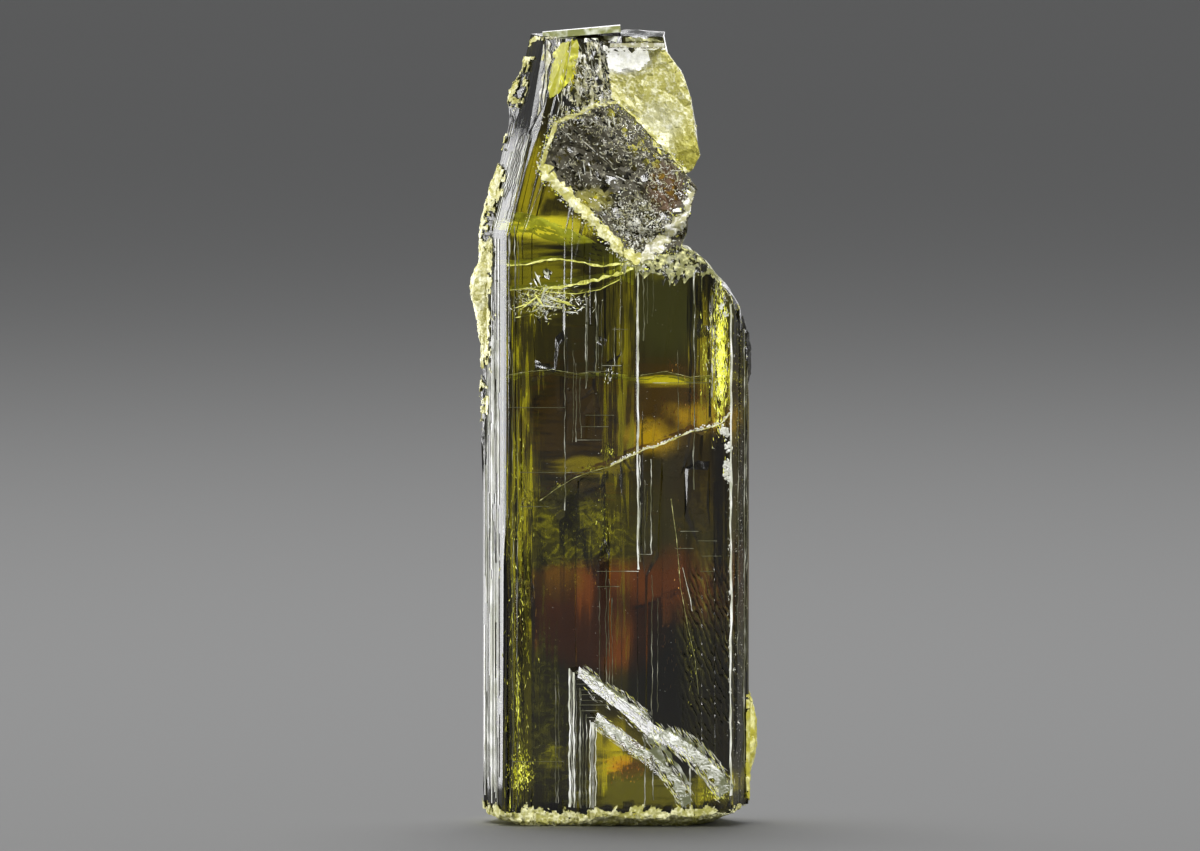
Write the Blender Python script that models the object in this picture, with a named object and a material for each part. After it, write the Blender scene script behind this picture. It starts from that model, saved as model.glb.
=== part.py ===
"""An epidote crystal: one natural solid that stands on its broken lower end.

The body is a flattened six-sided prism, striated along its length. Its upper end narrows
to a leaning head that is broken open at the front, with a rhombic pit, a rough set-back
plate and a sliver across the top. A stepped parallel growth stands on the lower front.

Lengths are in millimetres, because the growth steps are a few hundredths of one, until
the last step, which sets the finished mesh in metres.
X runs across the broad front face, Y runs from front to back and Z runs up.
"""

import math
import random

import bmesh
import bpy
from mathutils import Matrix, Vector, noise

MM = 0.001

# Driving dimensions of the prism
TOP_Z = 41.45
HALF_DEPTH = 2.9
FRONT_LEFT_X = -5.6
FRONT_RIGHT_X = 6.1
LEFT_FACET_DEPTH = 2.95
RIGHT_FACET_DEPTH = 1.97

# Angles that the side facets make with the broad face, from the species' own cell
ANGLE_A = math.radians(64.6)
ANGLE_R = math.radians(63.4)

# The upper end leans to the right above this height
LEAN_Z = 31.0
LEAN_SLOPE = 0.243
LEAN_FULL_X = -3.0
LEAN_NONE_X = 1.5

# Striations: how far a band lies below its facet, and how wide the riser beside it is
BAND_DEPTH = 0.11
RISER = 0.05
# How many bands the other five facets have, anticlockwise from the front right one, how
# near an end a band may start, as a share of the facet, and the seed that draws them
SIDE_BAND_COUNTS = (4, 6, 13, 5, 6)
BAND_MARGIN = 0.06
BAND_SEED = 11
# How far a corner's band draws back along the facet, as a share of its depth
CORNER_SHARE = 0.85

# Stock that the end cuts take away
SPARE_BELOW = 1.0
SPARE_ABOVE = 1.2

# The flat that the crystal rests on, and how the chipped rim rises round it
FOOT_CENTRE_X = -0.3
FOOT_HALF_WIDTH = 4.3
FOOT_HALF_DEPTH = 2.45
END_SLOPE = 0.27
END_CURVE = 0.03
SIDE_SLOPE = 0.55
RIM_ROUGHNESS = 0.26
# The chips on the rim: the grain and share of each noise, and how soon they reach full
# size away from the flat
RIM_CHIPS = ((1.3, 1.0), (3.1, 0.7))
RIM_SPREAD = 2.0
# The cutter that leaves the foot: its half sizes, its cells and how far down it goes
FOOT_CUT_HALF = (8.6, 4.2)
FOOT_CUT_CELLS = (43, 21)
FOOT_CUT_DEPTH = 3.0

# How deep each kind of growth is rooted in the face that it stands on
PLATE_ROOT = 0.5
SLAB_ROOT = 0.4
TERRACE_ROOT = 0.6

# What each cut and the last clean-up count as one point, and what is one flat face
SEAM_GAP = 0.0001
WELD_GAP = 0.0005
FLAT_ANGLE = math.radians(0.05)

COLOUR = (0.07, 0.075, 0.02, 1.0)
ROUGHNESS = 0.12
REFRACTIVE_INDEX = 1.74
CLEARNESS = 0.9

# The broad face's bands, from left to right: where each starts, and its depth
FRONT_BANDS = (
    (-5.60, 0.020),
    (-5.20, 0.090),
    (-4.85, 0.040),
    (-4.35, 0.100),
    (-2.62, 0.005),
    (-2.05, 0.060),
    (-1.30, 0.030),
    (-0.55, 0.085),
    (0.35, 0.050),
    (1.18, 0.000),
    (1.62, 0.080),
    (2.45, 0.055),
    (3.55, 0.105),
    (4.55, 0.065),
    (5.25, 0.010),
    (5.72, 0.045),
)

# The growth layer above the slanting ledge: the ledge's line across the broad face, as
# (x, z), and the strips that end on it, as from, to, top height and how proud
LEDGE = (
    (-4.95, 17.0),
    (-2.90, 17.7),
    (-0.80, 18.5),
    (1.20, 19.3),
    (1.70, 19.9),
    (3.90, 20.4),
    (5.20, 20.9),
    (5.90, 22.4),
)
LEDGE_JOG = 0.06
LEDGE_STRIPS = (
    (-4.93, -4.32, 27.1, 0.05),
    (-4.36, -2.56, 23.9, 0.08),
    (-2.68, -1.93, 33.2, 0.12),
    (-1.96, -0.52, 25.4, 0.07),
    (-0.56, 0.38, 24.2, 0.13),
    (0.34, 1.20, 30.0, 0.09),
    (1.16, 4.20, 29.7, 0.15),
    (4.17, 5.02, 26.1, 0.085),
    (4.98, 5.86, 27.6, 0.125),
)

# Low growth plates on a facet: from and to along it, from and to in height, how proud
FRONT_PLATES = (
    (6.92, 7.95, 14.2, 20.6, 0.16),
    (6.98, 7.62, 15.6, 21.3, 0.20),
    (2.60, 4.95, 21.9, 25.6, 0.10),
    (3.05, 4.60, 22.6, 26.3, 0.17),
    (9.20, 10.6, 16.6, 19.0, 0.075),
    (0.40, 1.30, 2.0, 12.5, 0.065),
    (4.70, 5.35, 8.9, 14.6, 0.055),
)
BACK_PLATES = (
    (1.2, 5.4, 12.0, 33.5, 0.14),
    (4.4, 9.3, 3.0, 17.5, 0.12),
    (6.1, 8.0, 20.0, 29.0, 0.10),
    (2.2, 3.4, 4.0, 9.5, 0.09),
    (9.1, 9.9, 9.0, 22.5, 0.08),
)
LEFT_PLATES = (
    (0.75, 1.9, -0.5, 16.2, 0.10),
    (2.05, 3.1, -0.5, 14.5, 0.20),
    (1.0, 1.7, 20.6, 30.0, 0.08),
)
BACK_LEFT_PLATES = ((0.3, 2.1, 6.0, 21.6, 0.16),)
RIGHT_PLATES = ((0.5, 1.5, 3.5, 15.0, 0.08),)
BACK_RIGHT_PLATES = (
    (0.9, 2.6, 7.0, 24.0, 0.15),
    (3.0, 3.9, 2.0, 13.0, 0.10),
)

# The stepped growth on the lower front: each terrace's foot and top outlines, as (x, z)
TERRACE_RISES = (0.30, 0.24)
TERRACE_FEET = (
    (
        (-2.41, -0.9),
        (-2.41, 8.34),
        (-1.88, 8.40),
        (-0.79, 7.54),
        (0.68, 6.49),
        (1.47, 5.97),
        (2.04, 5.34),
        (3.19, 4.76),
        (3.98, 4.29),
        (4.87, 3.56),
        (5.60, 2.75),
        (6.04, 1.90),
        (6.04, -0.9),
    ),
    (
        (-1.33, -0.8),
        (-1.33, 5.99),
        (-0.92, 6.02),
        (-0.10, 5.34),
        (0.94, 4.61),
        (1.88, 3.87),
        (2.62, 3.25),
        (3.51, 2.36),
        (4.08, 1.84),
        (4.24, -0.8),
    ),
)
TERRACE_TOPS = (
    (
        (-1.96, -0.9),
        (-1.96, 7.84),
        (-1.74, 7.74),
        (-1.05, 7.06),
        (0.21, 6.14),
        (0.99, 5.44),
        (1.72, 4.74),
        (2.86, 4.16),
        (3.62, 3.70),
        (4.30, 3.02),
        (4.92, 2.20),
        (5.48, 1.34),
        (5.60, -0.9),
    ),
    (
        (-1.02, -0.8),
        (-1.02, 5.62),
        (-0.90, 5.56),
        (-0.44, 4.92),
        (0.52, 4.12),
        (1.42, 3.40),
        (2.14, 2.76),
        (2.98, 1.92),
        (3.44, 1.36),
        (3.62, -0.8),
    ),
)
# Narrow stairs on the first terrace: from and to across, from and to in height, and how
# far the low edge of each runs on
TERRACE_STAIRS = (
    (-1.84, -1.62, 7.50, 7.60),
    (-1.84, -1.36, 7.20, 7.32),
    (-1.84, -0.98, 6.88, 7.00),
    (-1.84, -0.60, 6.56, 6.68),
    (-1.84, -0.16, 6.22, 6.36),
)
STAIR_RUN = 0.12
STAIR_RISE = 0.07

# What bounds the crystal on the right of the head and over the shoulder, as (x, z)
SHOULDER_OUTLINE = (
    (3.00, 43.5),
    (2.62, 41.4),
    (2.75, 40.5),
    (3.40, 39.5),
    (3.95, 38.1),
    (4.25, 36.6),
    (4.35, 35.0),
    (4.10, 34.3),
    (3.72, 34.1),
    (4.28, 33.5),
    (4.20, 33.1),
    (3.80, 32.1),
    (3.65, 30.9),
    (3.42, 30.3),
    (3.95, 30.15),
    (4.75, 29.45),
    (5.50, 28.65),
    (6.20, 27.85),
    (6.65, 27.05),
    (6.95, 25.9),
    (7.70, 24.6),
)
OUTLINE_REACH_X = 12.0
OUTLINE_REACH_Y = 7.0
OUTLINE_LAYERS = 6
# How far that outline wanders from front to back, across and up, and its grain
OUTLINE_WANDER_X = 0.28
OUTLINE_WANDER_Z = 0.22
OUTLINE_GRAIN = 0.9

# Rough breaks. Each is a patch with four corners (x, y, z) in order round it, the way to
# the side that is gone, how much wider the far side is, its cells and its roughness
BREAKS = {
    "plate_break": (
        ((-1.1, -0.7, 42.8), (5.8, 0.9, 42.8), (5.8, 0.7, 31.9), (-0.5, -0.5, 37.9)),
        (0.0, -7.0, 0.0),
        1.06,
        (15, 17),
        0.16,
    ),
    "pit_break": (
        ((-3.4, -1.9, 34.9), (-0.5, -1.5, 38.3), (4.9, -1.0, 33.2), (0.95, -1.75, 30.2)),
        (0.0, -7.0, 0.0),
        2.0,
        (16, 15),
        0.20,
    ),
    "groove_break": (
        ((-2.0, -1.9, 42.9), (-0.8, -0.9, 42.9), (0.0, -1.3, 37.2), (-3.3, -2.0, 35.6)),
        (0.0, -7.0, 0.0),
        1.25,
        (7, 14),
        0.16,
    ),
    "band_break": (
        ((0.3, -3.4, 28.9), (5.2, -3.4, 28.2), (5.0, -1.3, 30.6), (0.5, -1.3, 31.1)),
        (0.0, -3.2, 4.0),
        1.0,
        (17, 6),
        0.12,
    ),
    "chip_break": (
        ((-5.0, -2.95, 28.0), (-3.6, -2.75, 29.3), (-1.2, -2.95, 27.7), (-3.9, -2.8, 26.4)),
        (0.0, -2.0, 0.0),
        1.3,
        (14, 9),
        0.14,
    ),
    "top_break": (
        ((-8.0, -4.5, 41.3), (6.0, -4.5, 41.0), (6.0, 4.5, 41.75), (-8.0, 4.5, 41.6)),
        (0.0, 0.0, 5.0),
        1.0,
        (26, 10),
        0.07,
    ),
    "rear_head_break": (
        ((5.8, 2.1, 42.9), (-2.4, 3.5, 42.9), (-0.6, 3.3, 35.2), (5.8, 2.6, 31.0)),
        (0.0, 6.0, 0.0),
        1.15,
        (15, 17),
        0.15,
    ),
    "rear_corner_break": (
        ((-4.6, 0.1, 42.9), (-1.7, 3.4, 42.9), (-3.7, 3.6, 36.2), (-6.2, 0.7, 36.2)),
        (-3.0, 4.0, 0.0),
        1.2,
        (9, 12),
        0.12,
    ),
}

# How a break's points sway along the patch, in cells, and how it swells: the grain of
# each noise, for each millimetre, and its share, and the share of plain jitter
BREAK_SWAY = 0.3
BREAK_SWELLS = ((0.55, 2.2), (1.7, 1.0))
BREAK_JITTER = 0.5

# Flat cuts: a point on the cut, the way its facet faces, and how far it reaches
FLAT_CUTS = {
    "head_left_facet": ((-3.8, -2.9, 37.0), (-0.637, -0.730, 0.244), 5.0),
}

# Rough crusts along the outer edges: which side, the depth they centre on, their half
# width from front to back, and their outer profile, as (height, x)
CRUSTS = {
    "left_crust": (
        -1,
        0.05,
        0.95,
        (
            (25.3, -6.95),
            (26.2, -7.20),
            (27.0, -7.30),
            (27.6, -7.52),
            (28.4, -7.58),
            (29.1, -7.32),
            (29.6, -7.05),
            (30.6, -7.12),
            (31.8, -6.98),
            (32.9, -6.66),
            (33.6, -6.55),
            (34.3, -6.20),
        ),
    ),
    "left_low_crust": (
        -1,
        0.0,
        0.5,
        ((19.2, -6.93), (20.2, -7.06), (21.4, -6.97), (22.6, -7.08), (23.8, -6.95)),
    ),
    "head_crust": (
        -1,
        0.1,
        0.75,
        ((36.9, -5.45), (37.5, -5.62), (38.2, -5.60), (38.8, -5.36), (39.3, -4.95)),
    ),
    "right_low_crust": (
        1,
        0.4,
        1.0,
        (
            (2.3, 6.95),
            (3.0, 7.30),
            (4.1, 7.46),
            (5.1, 7.45),
            (6.2, 7.28),
            (7.1, 6.95),
        ),
    ),
    "right_high_crust": (
        1,
        0.4,
        0.9,
        ((22.8, 6.98), (23.8, 7.18), (25.0, 7.20), (26.0, 7.08), (26.7, 6.85)),
    ),
}
CRUST_STEP = 0.42
CRUST_ROUGHNESS = 0.09
# Each ring of a crust: how far in from the outer edge its points are, and how far across
CRUST_SECTION = ((0.75, -1.0), (0.14, -0.55), (0.0, 0.0), (0.16, 0.5), (0.8, 1.0), (1.3, 0.0))
# The width of its ends, as a share of its middle, and the share of the wobble that its
# outer line keeps
CRUST_END_WIDTH = 0.45
CRUST_LINE_WOBBLE = 0.5

# Angular lumps beside the pit: centre and half sizes
LUMPS = {
    "pit_lump_0": ((3.45, -0.90, 32.4), (0.65, 0.60, 0.80)),
    "pit_lump_1": ((3.15, -1.20, 31.3), (0.50, 0.60, 0.60)),
    "pit_lump_2": ((3.70, -0.40, 33.6), (0.40, 0.60, 0.45)),
}
LUMP_UNEVENNESS = (0.78, 1.08)

# The sliver that lies across the top
SLIVER_CENTRE = (-1.75, 0.2, 41.62)
SLIVER_SIZE = (4.1, 3.1, 0.34)
SLIVER_TILT = math.radians(5.0)
SLIVER_TIP_SHARE = 0.55

# The narrow shelf under the top edge of the set-back plate
SHELF_CENTRE = (1.05, -0.25, 40.9)
SHELF_SIZE = (3.1, 2.1, 0.38)
# How its front edge tapers: how far the low side comes up, and the high side down
SHELF_TAPER_UP = 0.12
SHELF_TAPER_DOWN = 0.04


def new_object(name, mesh_builder, collection):
    """A mesh object made from what mesh_builder puts in a bmesh."""
    mesh = bpy.data.meshes.new(name)
    shape = bmesh.new()
    mesh_builder(shape)
    bmesh.ops.recalc_face_normals(shape, faces=shape.faces)
    shape.to_mesh(mesh)
    shape.free()
    made = bpy.data.objects.new(name, mesh)
    collection.objects.link(made)
    return made


def new_collection(name):
    collection = bpy.data.collections.new(name)
    bpy.context.scene.collection.children.link(collection)
    return collection


def outline_solid(name, outline, thickness, place, collection):
    """A flat outline, as (x, y), made thick evenly to both sides of its own plane."""
    curve = bpy.data.curves.new(name, "CURVE")
    curve.dimensions = "2D"
    curve.fill_mode = "BOTH"
    curve.extrude = thickness / 2
    spline = curve.splines.new("POLY")
    spline.points.add(len(outline) - 1)
    for point, (x, y) in zip(spline.points, outline):
        point.co = (x, y, 0, 1)
    spline.use_cyclic_u = True
    drawn = bpy.data.objects.new(f"{name}_outline", curve)
    collection.objects.link(drawn)
    bpy.context.view_layer.update()
    graph = bpy.context.evaluated_depsgraph_get()
    filled = bpy.data.meshes.new_from_object(drawn.evaluated_get(graph))
    bpy.data.objects.remove(drawn)
    filled.transform(place)

    def shape_of(shape):
        shape.from_mesh(filled)
        bmesh.ops.remove_doubles(shape, verts=shape.verts, dist=SEAM_GAP)

    return new_object(name, shape_of, collection)


def sliced(made, axis, places):
    """Cuts rings of points into a solid where it crosses these places along an axis."""
    normal = Vector((axis == "x", axis == "y", axis == "z"))
    shape = bmesh.new()
    shape.from_mesh(made.data)
    for place in places:
        geometry = [*shape.verts, *shape.edges, *shape.faces]
        bmesh.ops.bisect_plane(shape, geom=geometry, plane_co=normal * place, plane_no=normal)
    shape.to_mesh(made.data)
    shape.free()


def plan_corners():
    """The prism's six corners seen from above, from the front left one, anticlockwise."""
    front_left = Vector((FRONT_LEFT_X, -HALF_DEPTH))
    front_right = Vector((FRONT_RIGHT_X, -HALF_DEPTH))
    way_a = Vector((-math.cos(ANGLE_A), math.sin(ANGLE_A)))
    way_r = Vector((math.cos(ANGLE_R), math.sin(ANGLE_R)))
    right = front_right + way_r * (RIGHT_FACET_DEPTH / way_r.y)
    left = front_left + way_a * (LEFT_FACET_DEPTH / way_a.y)
    back_right = right + way_a * ((HALF_DEPTH - right.y) / way_a.y)
    back_left = left + way_r * ((HALF_DEPTH - left.y) / way_r.y)
    return [front_left, front_right, right, back_right, back_left, left]


def outward(start, end):
    """The level direction that points out of the facet from start to end."""
    along = (end - start).normalized()
    return Vector((along.y, -along.x))


def drawn_bands(length, count, draw):
    """Bands of uneven width and depth along a facet of this length."""
    share = (BAND_MARGIN, 1 - BAND_MARGIN)
    cuts = sorted(draw.uniform(*share) * length for _ in range(count - 1))
    return [(cut, draw.uniform(0.0, BAND_DEPTH)) for cut in [0.0, *cuts]]


def striated_edge(start, end, bands):
    """The points of one facet's edge, stepping in by each band's depth."""
    along = (end - start).normalized()
    inward = -outward(start, end)
    length = (end - start).length
    points = []
    for index, (band_start, depth) in enumerate(bands):
        first = index == 0
        last = index == len(bands) - 1
        band_end = length if last else bands[index + 1][0]
        half_riser = min(RISER, (band_end - band_start) / 4) / 2
        start_at = band_start + half_riser + (CORNER_SHARE * depth if first else 0.0)
        end_at = band_end - half_riser - (CORNER_SHARE * depth if last else 0.0)
        points.append(start + along * start_at + inward * depth)
        points.append(start + along * end_at + inward * depth)
    return points


def plan_outline():
    """The striated outline of the prism, anticlockwise from the front left corner."""
    corners = plan_corners()
    draw = random.Random(BAND_SEED)
    front = [(x - FRONT_LEFT_X, depth) for x, depth in FRONT_BANDS]
    outline = striated_edge(corners[0], corners[1], front)
    for index, count in enumerate(SIDE_BAND_COUNTS, start=1):
        start = corners[index]
        end = corners[(index + 1) % len(corners)]
        outline += striated_edge(start, end, drawn_bands((end - start).length, count, draw))
    return outline


def leaning(point):
    """A point of the prism after the upper end has leaned over."""
    share = (LEAN_NONE_X - point.x) / (LEAN_NONE_X - LEAN_FULL_X)
    share = min(1.0, max(0.0, share))
    rise = max(0.0, point.z - LEAN_Z)
    return Vector((point.x + share * LEAN_SLOPE * rise, point.y, point.z))


def lean_over(made):
    """Leans the upper end of a solid."""
    for vert in made.data.vertices:
        vert.co = leaning(vert.co)


def build_prism(collection):
    """The striated prism, with spare length at both ends for the breaks to take."""
    low = -SPARE_BELOW
    high = TOP_Z + SPARE_ABOVE
    place = Matrix.Translation((0, 0, (low + high) / 2))
    prism = outline_solid("epidote_crystal", plan_outline(), high - low, place, collection)
    sliced(prism, "z", (LEAN_Z,))
    lean_over(prism)
    return prism


def build_plate(name, start, end, plate, collection):
    """A low growth plate on the facet from start to end, rooted well inside it."""
    near, far, low, high, proud = plate
    along = (end - start).normalized()
    out = outward(start, end)
    middle = start + along * (near + far) / 2 + out * (proud - PLATE_ROOT) / 2
    turn = Matrix.Rotation(math.atan2(along.y, along.x), 4, "Z")
    place = Matrix.Translation((middle.x, middle.y, (low + high) / 2))
    size = Matrix.Diagonal((far - near, proud + PLATE_ROOT, high - low, 1))

    def shape_of(shape):
        bmesh.ops.create_cube(shape, size=1, matrix=place @ turn @ size)

    lean_over(new_object(name, shape_of, collection))


def build_plates(collection):
    corners = plan_corners()
    facets = (
        ("front", 0, FRONT_PLATES),
        ("right", 1, RIGHT_PLATES),
        ("back_right", 2, BACK_RIGHT_PLATES),
        ("back", 3, BACK_PLATES),
        ("back_left", 4, BACK_LEFT_PLATES),
        ("left", 5, LEFT_PLATES),
    )
    for facet, index, plates in facets:
        start = corners[index]
        end = corners[(index + 1) % len(corners)]
        for number, plate in enumerate(plates):
            build_plate(f"{facet}_plate_{number}", start, end, plate, collection)


def ledge_height(x):
    """The height of the slanting ledge at x."""
    for (x0, z0), (x1, z1) in zip(LEDGE, LEDGE[1:]):
        if x <= x1:
            return z0 + (z1 - z0) * (x - x0) / (x1 - x0)
    return LEDGE[-1][1]


def build_ledge_strips(collection):
    """The striated growth layer whose strips all end below on the slanting ledge."""
    for number, (left, right, top, proud) in enumerate(LEDGE_STRIPS):
        jog = LEDGE_JOG * (number % 3)
        low_left = ledge_height(left) + jog
        low_right = ledge_height(right) + jog
        outline = ((left, low_left), (right, low_right), (right, top), (left, top))
        build_slab(f"ledge_strip_{number}", outline, -HALF_DEPTH, proud, collection)


def build_slab(name, outline, surface, proud, collection):
    """A flat slab with this outline as (x, z), standing proud of a level facing front."""
    upright = Matrix.Rotation(math.radians(90), 4, "X")
    place = Matrix.Translation((0, surface + (SLAB_ROOT - proud) / 2, 0)) @ upright
    lean_over(outline_solid(name, outline, SLAB_ROOT + proud, place, collection))


def build_terrace(name, foot, top, foot_y, top_y, collection):
    """A raised step: a loft from below its foot outline up to its smaller top outline."""
    levels = ((foot_y + TERRACE_ROOT, foot), (foot_y, foot), (top_y, top))

    def shape_of(shape):
        rings = []
        for level, outline in levels:
            rings.append([shape.verts.new((x, level, z)) for x, z in outline])
        join_rings(shape, rings)

    return new_object(name, shape_of, collection)


def join_rings(shape, rings):
    """Joins rings of as many points each into a closed loft with flat ends."""
    shape.faces.new(rings[0])
    shape.faces.new(rings[-1])
    for lower, upper in zip(rings, rings[1:]):
        for index in range(len(lower)):
            after = (index + 1) % len(lower)
            shape.faces.new((lower[index], lower[after], upper[after], upper[index]))


def build_terraces(collection):
    """The stepped parallel growth on the lower front, each step standing on the last."""
    surface = -HALF_DEPTH
    for number, rise in enumerate(TERRACE_RISES):
        foot = TERRACE_FEET[number]
        top = TERRACE_TOPS[number]
        build_terrace(f"terrace_{number}", foot, top, surface, surface - rise, collection)
        surface -= rise
    first_level = -HALF_DEPTH - TERRACE_RISES[0]
    for number, (left, right, low, high) in enumerate(TERRACE_STAIRS):
        outline = ((left, low), (right + STAIR_RUN, low), (right, high), (left, high))
        build_slab(f"stair_{number}", outline, first_level, STAIR_RISE, collection)


def patch_point(corners, u, v):
    """The point at u, v of a four-sided patch, by linear steps between its corners."""
    a, b, c, d = (Vector(corner) for corner in corners)
    return a.lerp(b, u).lerp(d.lerp(c, u), v)


def build_break(name, settings, collection):
    """A cutter with one rough, faceted side, which is left on the crystal as a break."""
    corners, away, flare, cells, roughness = settings
    away = Vector(away)
    middle = patch_point(corners, 0.5, 0.5)
    draw = random.Random(name)

    def shape_of(shape):
        bmesh.ops.create_grid(shape, x_segments=cells[0], y_segments=cells[1], size=0.5)
        for vert in shape.verts:
            u, v = vert.co.x + 0.5, vert.co.y + 0.5
            inner = 0.0 < u < 1.0 and 0.0 < v < 1.0
            sway = BREAK_SWAY if inner else 0.0
            u += draw.uniform(-sway, sway) / cells[0]
            v += draw.uniform(-sway, sway) / cells[1]
            point = patch_point(corners, u, v)
            swell = sum(noise.noise(point * grain) * share for grain, share in BREAK_SWELLS)
            swell += draw.uniform(-BREAK_JITTER, BREAK_JITTER)
            point += away.normalized() * swell * roughness
            vert.co = point
        bmesh.ops.triangulate(shape, faces=shape.faces)
        grown = bmesh.ops.extrude_face_region(shape, geom=list(shape.faces))["geom"]
        for vert in (g for g in grown if isinstance(g, bmesh.types.BMVert)):
            vert.co = middle + (vert.co - middle) * flare + away

    return new_object(name, shape_of, collection)


def build_outline_cutter(collection):
    """What takes away the stone right of the head and above the shoulder."""
    outline = [*SHOULDER_OUTLINE]
    outline += [(OUTLINE_REACH_X, outline[-1][1]), (OUTLINE_REACH_X, outline[0][1])]
    upright = Matrix.Rotation(math.radians(90), 4, "X")
    cutter = outline_solid("shoulder_outline", outline, 2 * OUTLINE_REACH_Y, upright, collection)
    step = 2 * OUTLINE_REACH_Y / OUTLINE_LAYERS
    sliced(cutter, "y", [layer * step - OUTLINE_REACH_Y for layer in range(1, OUTLINE_LAYERS)])
    for vert in cutter.data.vertices:
        if vert.co.x < OUTLINE_REACH_X - SEAM_GAP:
            rough = noise.noise_vector(vert.co * OUTLINE_GRAIN)
            vert.co.x += OUTLINE_WANDER_X * rough.x
            vert.co.z += OUTLINE_WANDER_Z * rough.z
    triangulate(cutter)
    return cutter


def triangulate(made):
    shape = bmesh.new()
    shape.from_mesh(made.data)
    bmesh.ops.triangulate(shape, faces=shape.faces)
    shape.to_mesh(made.data)
    shape.free()


def rim_height(x, y):
    """How far the broken lower end rises above the foot at x, y."""
    past_x = max(0.0, abs(x - FOOT_CENTRE_X) - FOOT_HALF_WIDTH)
    past_y = max(0.0, abs(y) - FOOT_HALF_DEPTH)
    rise = END_SLOPE * past_x + END_CURVE * past_x**2 + SIDE_SLOPE * past_y
    place = Vector((x, y, 0))
    rough = sum(noise.noise(place * grain) * share for grain, share in RIM_CHIPS)
    share = min(1.0, RIM_SPREAD * (past_x + past_y))
    return max(0.0, rise + share * RIM_ROUGHNESS * rough)


def build_foot_cutter(collection):
    """What takes the spare length off below, leaving a flat foot and a chipped rim."""

    def shape_of(shape):
        across, deep = FOOT_CUT_CELLS
        bmesh.ops.create_grid(shape, x_segments=across, y_segments=deep, size=1)
        for vert in shape.verts:
            x, y = vert.co.x * FOOT_CUT_HALF[0], vert.co.y * FOOT_CUT_HALF[1]
            vert.co = (x, y, rim_height(x, y))
        bmesh.ops.triangulate(shape, faces=shape.faces)
        grown = bmesh.ops.extrude_face_region(shape, geom=list(shape.faces))["geom"]
        for vert in (g for g in grown if isinstance(g, bmesh.types.BMVert)):
            vert.co.z = -FOOT_CUT_DEPTH

    return new_object("foot_cutter", shape_of, collection)


def build_flat_cut(name, settings, collection):
    """A block whose one side leaves a flat facet."""
    point, facing, reach = settings
    facing = Vector(facing).normalized()
    turn = facing.to_track_quat("Z", "Y").to_matrix().to_4x4()
    place = Matrix.Translation(Vector(point) + facing * reach)

    def shape_of(shape):
        bmesh.ops.create_cube(shape, size=2 * reach, matrix=place @ turn)

    return new_object(name, shape_of, collection)


def profile_x(profile, height):
    """The outer x of a crust at this height."""
    for (z0, x0), (z1, x1) in zip(profile, profile[1:]):
        if height <= z1:
            return x0 + (x1 - x0) * (height - z0) / (z1 - z0)
    return profile[-1][1]


def build_crust(name, settings, collection):
    """A rough crust along an outer edge, made of uneven rings one above the other."""
    side, middle_y, half_width, profile = settings
    draw = random.Random(name)
    low, high = profile[0][0], profile[-1][0]
    count = max(3, round((high - low) / CRUST_STEP))

    def shape_of(shape):
        rings = []
        for level in range(count + 1):
            height = low + (high - low) * level / count
            fullness = math.sin(math.pi * level / count)
            width = half_width * (CRUST_END_WIDTH + (1 - CRUST_END_WIDTH) * fullness)
            ring = []
            for inset, across in CRUST_SECTION:
                wobble = [draw.uniform(-1, 1) * CRUST_ROUGHNESS for _ in range(3)]
                outer = profile_x(profile, height) - side * inset
                x = outer + wobble[0] * (CRUST_LINE_WOBBLE if inset == 0.0 else 1.0)
                y = middle_y + across * width + wobble[1]
                ring.append(shape.verts.new((x, y, height + wobble[2])))
            rings.append(ring)
        join_rings(shape, rings)
        bmesh.ops.triangulate(shape, faces=shape.faces)

    return new_object(name, shape_of, collection)


def build_lump(name, centre, half_sizes, collection):
    """A small angular lump, sunk in the edge that it was left on."""
    draw = random.Random(name)

    def shape_of(shape):
        bmesh.ops.create_icosphere(shape, subdivisions=2, radius=1)
        for vert in shape.verts:
            vert.co *= draw.uniform(*LUMP_UNEVENNESS)
            vert.co = Vector(centre) + Vector(c * h for c, h in zip(vert.co, half_sizes))

    return new_object(name, shape_of, collection)


def build_sliver(collection):
    """The thin loose-edged plate that crosses the top."""
    place = Matrix.Translation(SLIVER_CENTRE) @ Matrix.Rotation(-SLIVER_TILT, 4, "Y")

    def shape_of(shape):
        bmesh.ops.create_cube(shape, size=1, matrix=place @ Matrix.Diagonal((*SLIVER_SIZE, 1)))
        tips = [v for v in shape.verts if v.co.x < SLIVER_CENTRE[0]]
        for vert in tips:
            vert.co.y *= SLIVER_TIP_SHARE

    return new_object("top_sliver", shape_of, collection)


def build_shelf(collection):
    """The narrow shelf under the top edge of the set-back plate."""
    place = Matrix.Translation(SHELF_CENTRE) @ Matrix.Diagonal((*SHELF_SIZE, 1))

    def shape_of(shape):
        bmesh.ops.create_cube(shape, size=1, matrix=place)
        front = [v for v in shape.verts if v.co.y < SHELF_CENTRE[1]]
        for vert in front:
            low = vert.co.z < SHELF_CENTRE[2]
            vert.co.z += SHELF_TAPER_UP if low else -SHELF_TAPER_DOWN

    return new_object("top_shelf", shape_of, collection)


def apply_booleans(target, operands, operation):
    """Cuts or joins each object of a collection into target, and keeps the result."""
    for operand in operands.objects:
        modifier = target.modifiers.new(operand.name, "BOOLEAN")
        modifier.object = operand
        modifier.operation = operation
        modifier.solver = "EXACT"
        bpy.context.view_layer.update()
        graph = bpy.context.evaluated_depsgraph_get()
        result = bpy.data.meshes.new_from_object(target.evaluated_get(graph))
        target.modifiers.clear()
        target.data = result
        shape = bmesh.new()
        shape.from_mesh(result)
        bmesh.ops.remove_doubles(shape, verts=shape.verts, dist=SEAM_GAP)
        bmesh.ops.triangulate(shape, faces=shape.faces)
        shape.to_mesh(result)
        shape.free()


def hide_helpers(collection):
    for helper in collection.objects:
        helper.hide_render = True
        helper.display_type = "WIRE"


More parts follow.
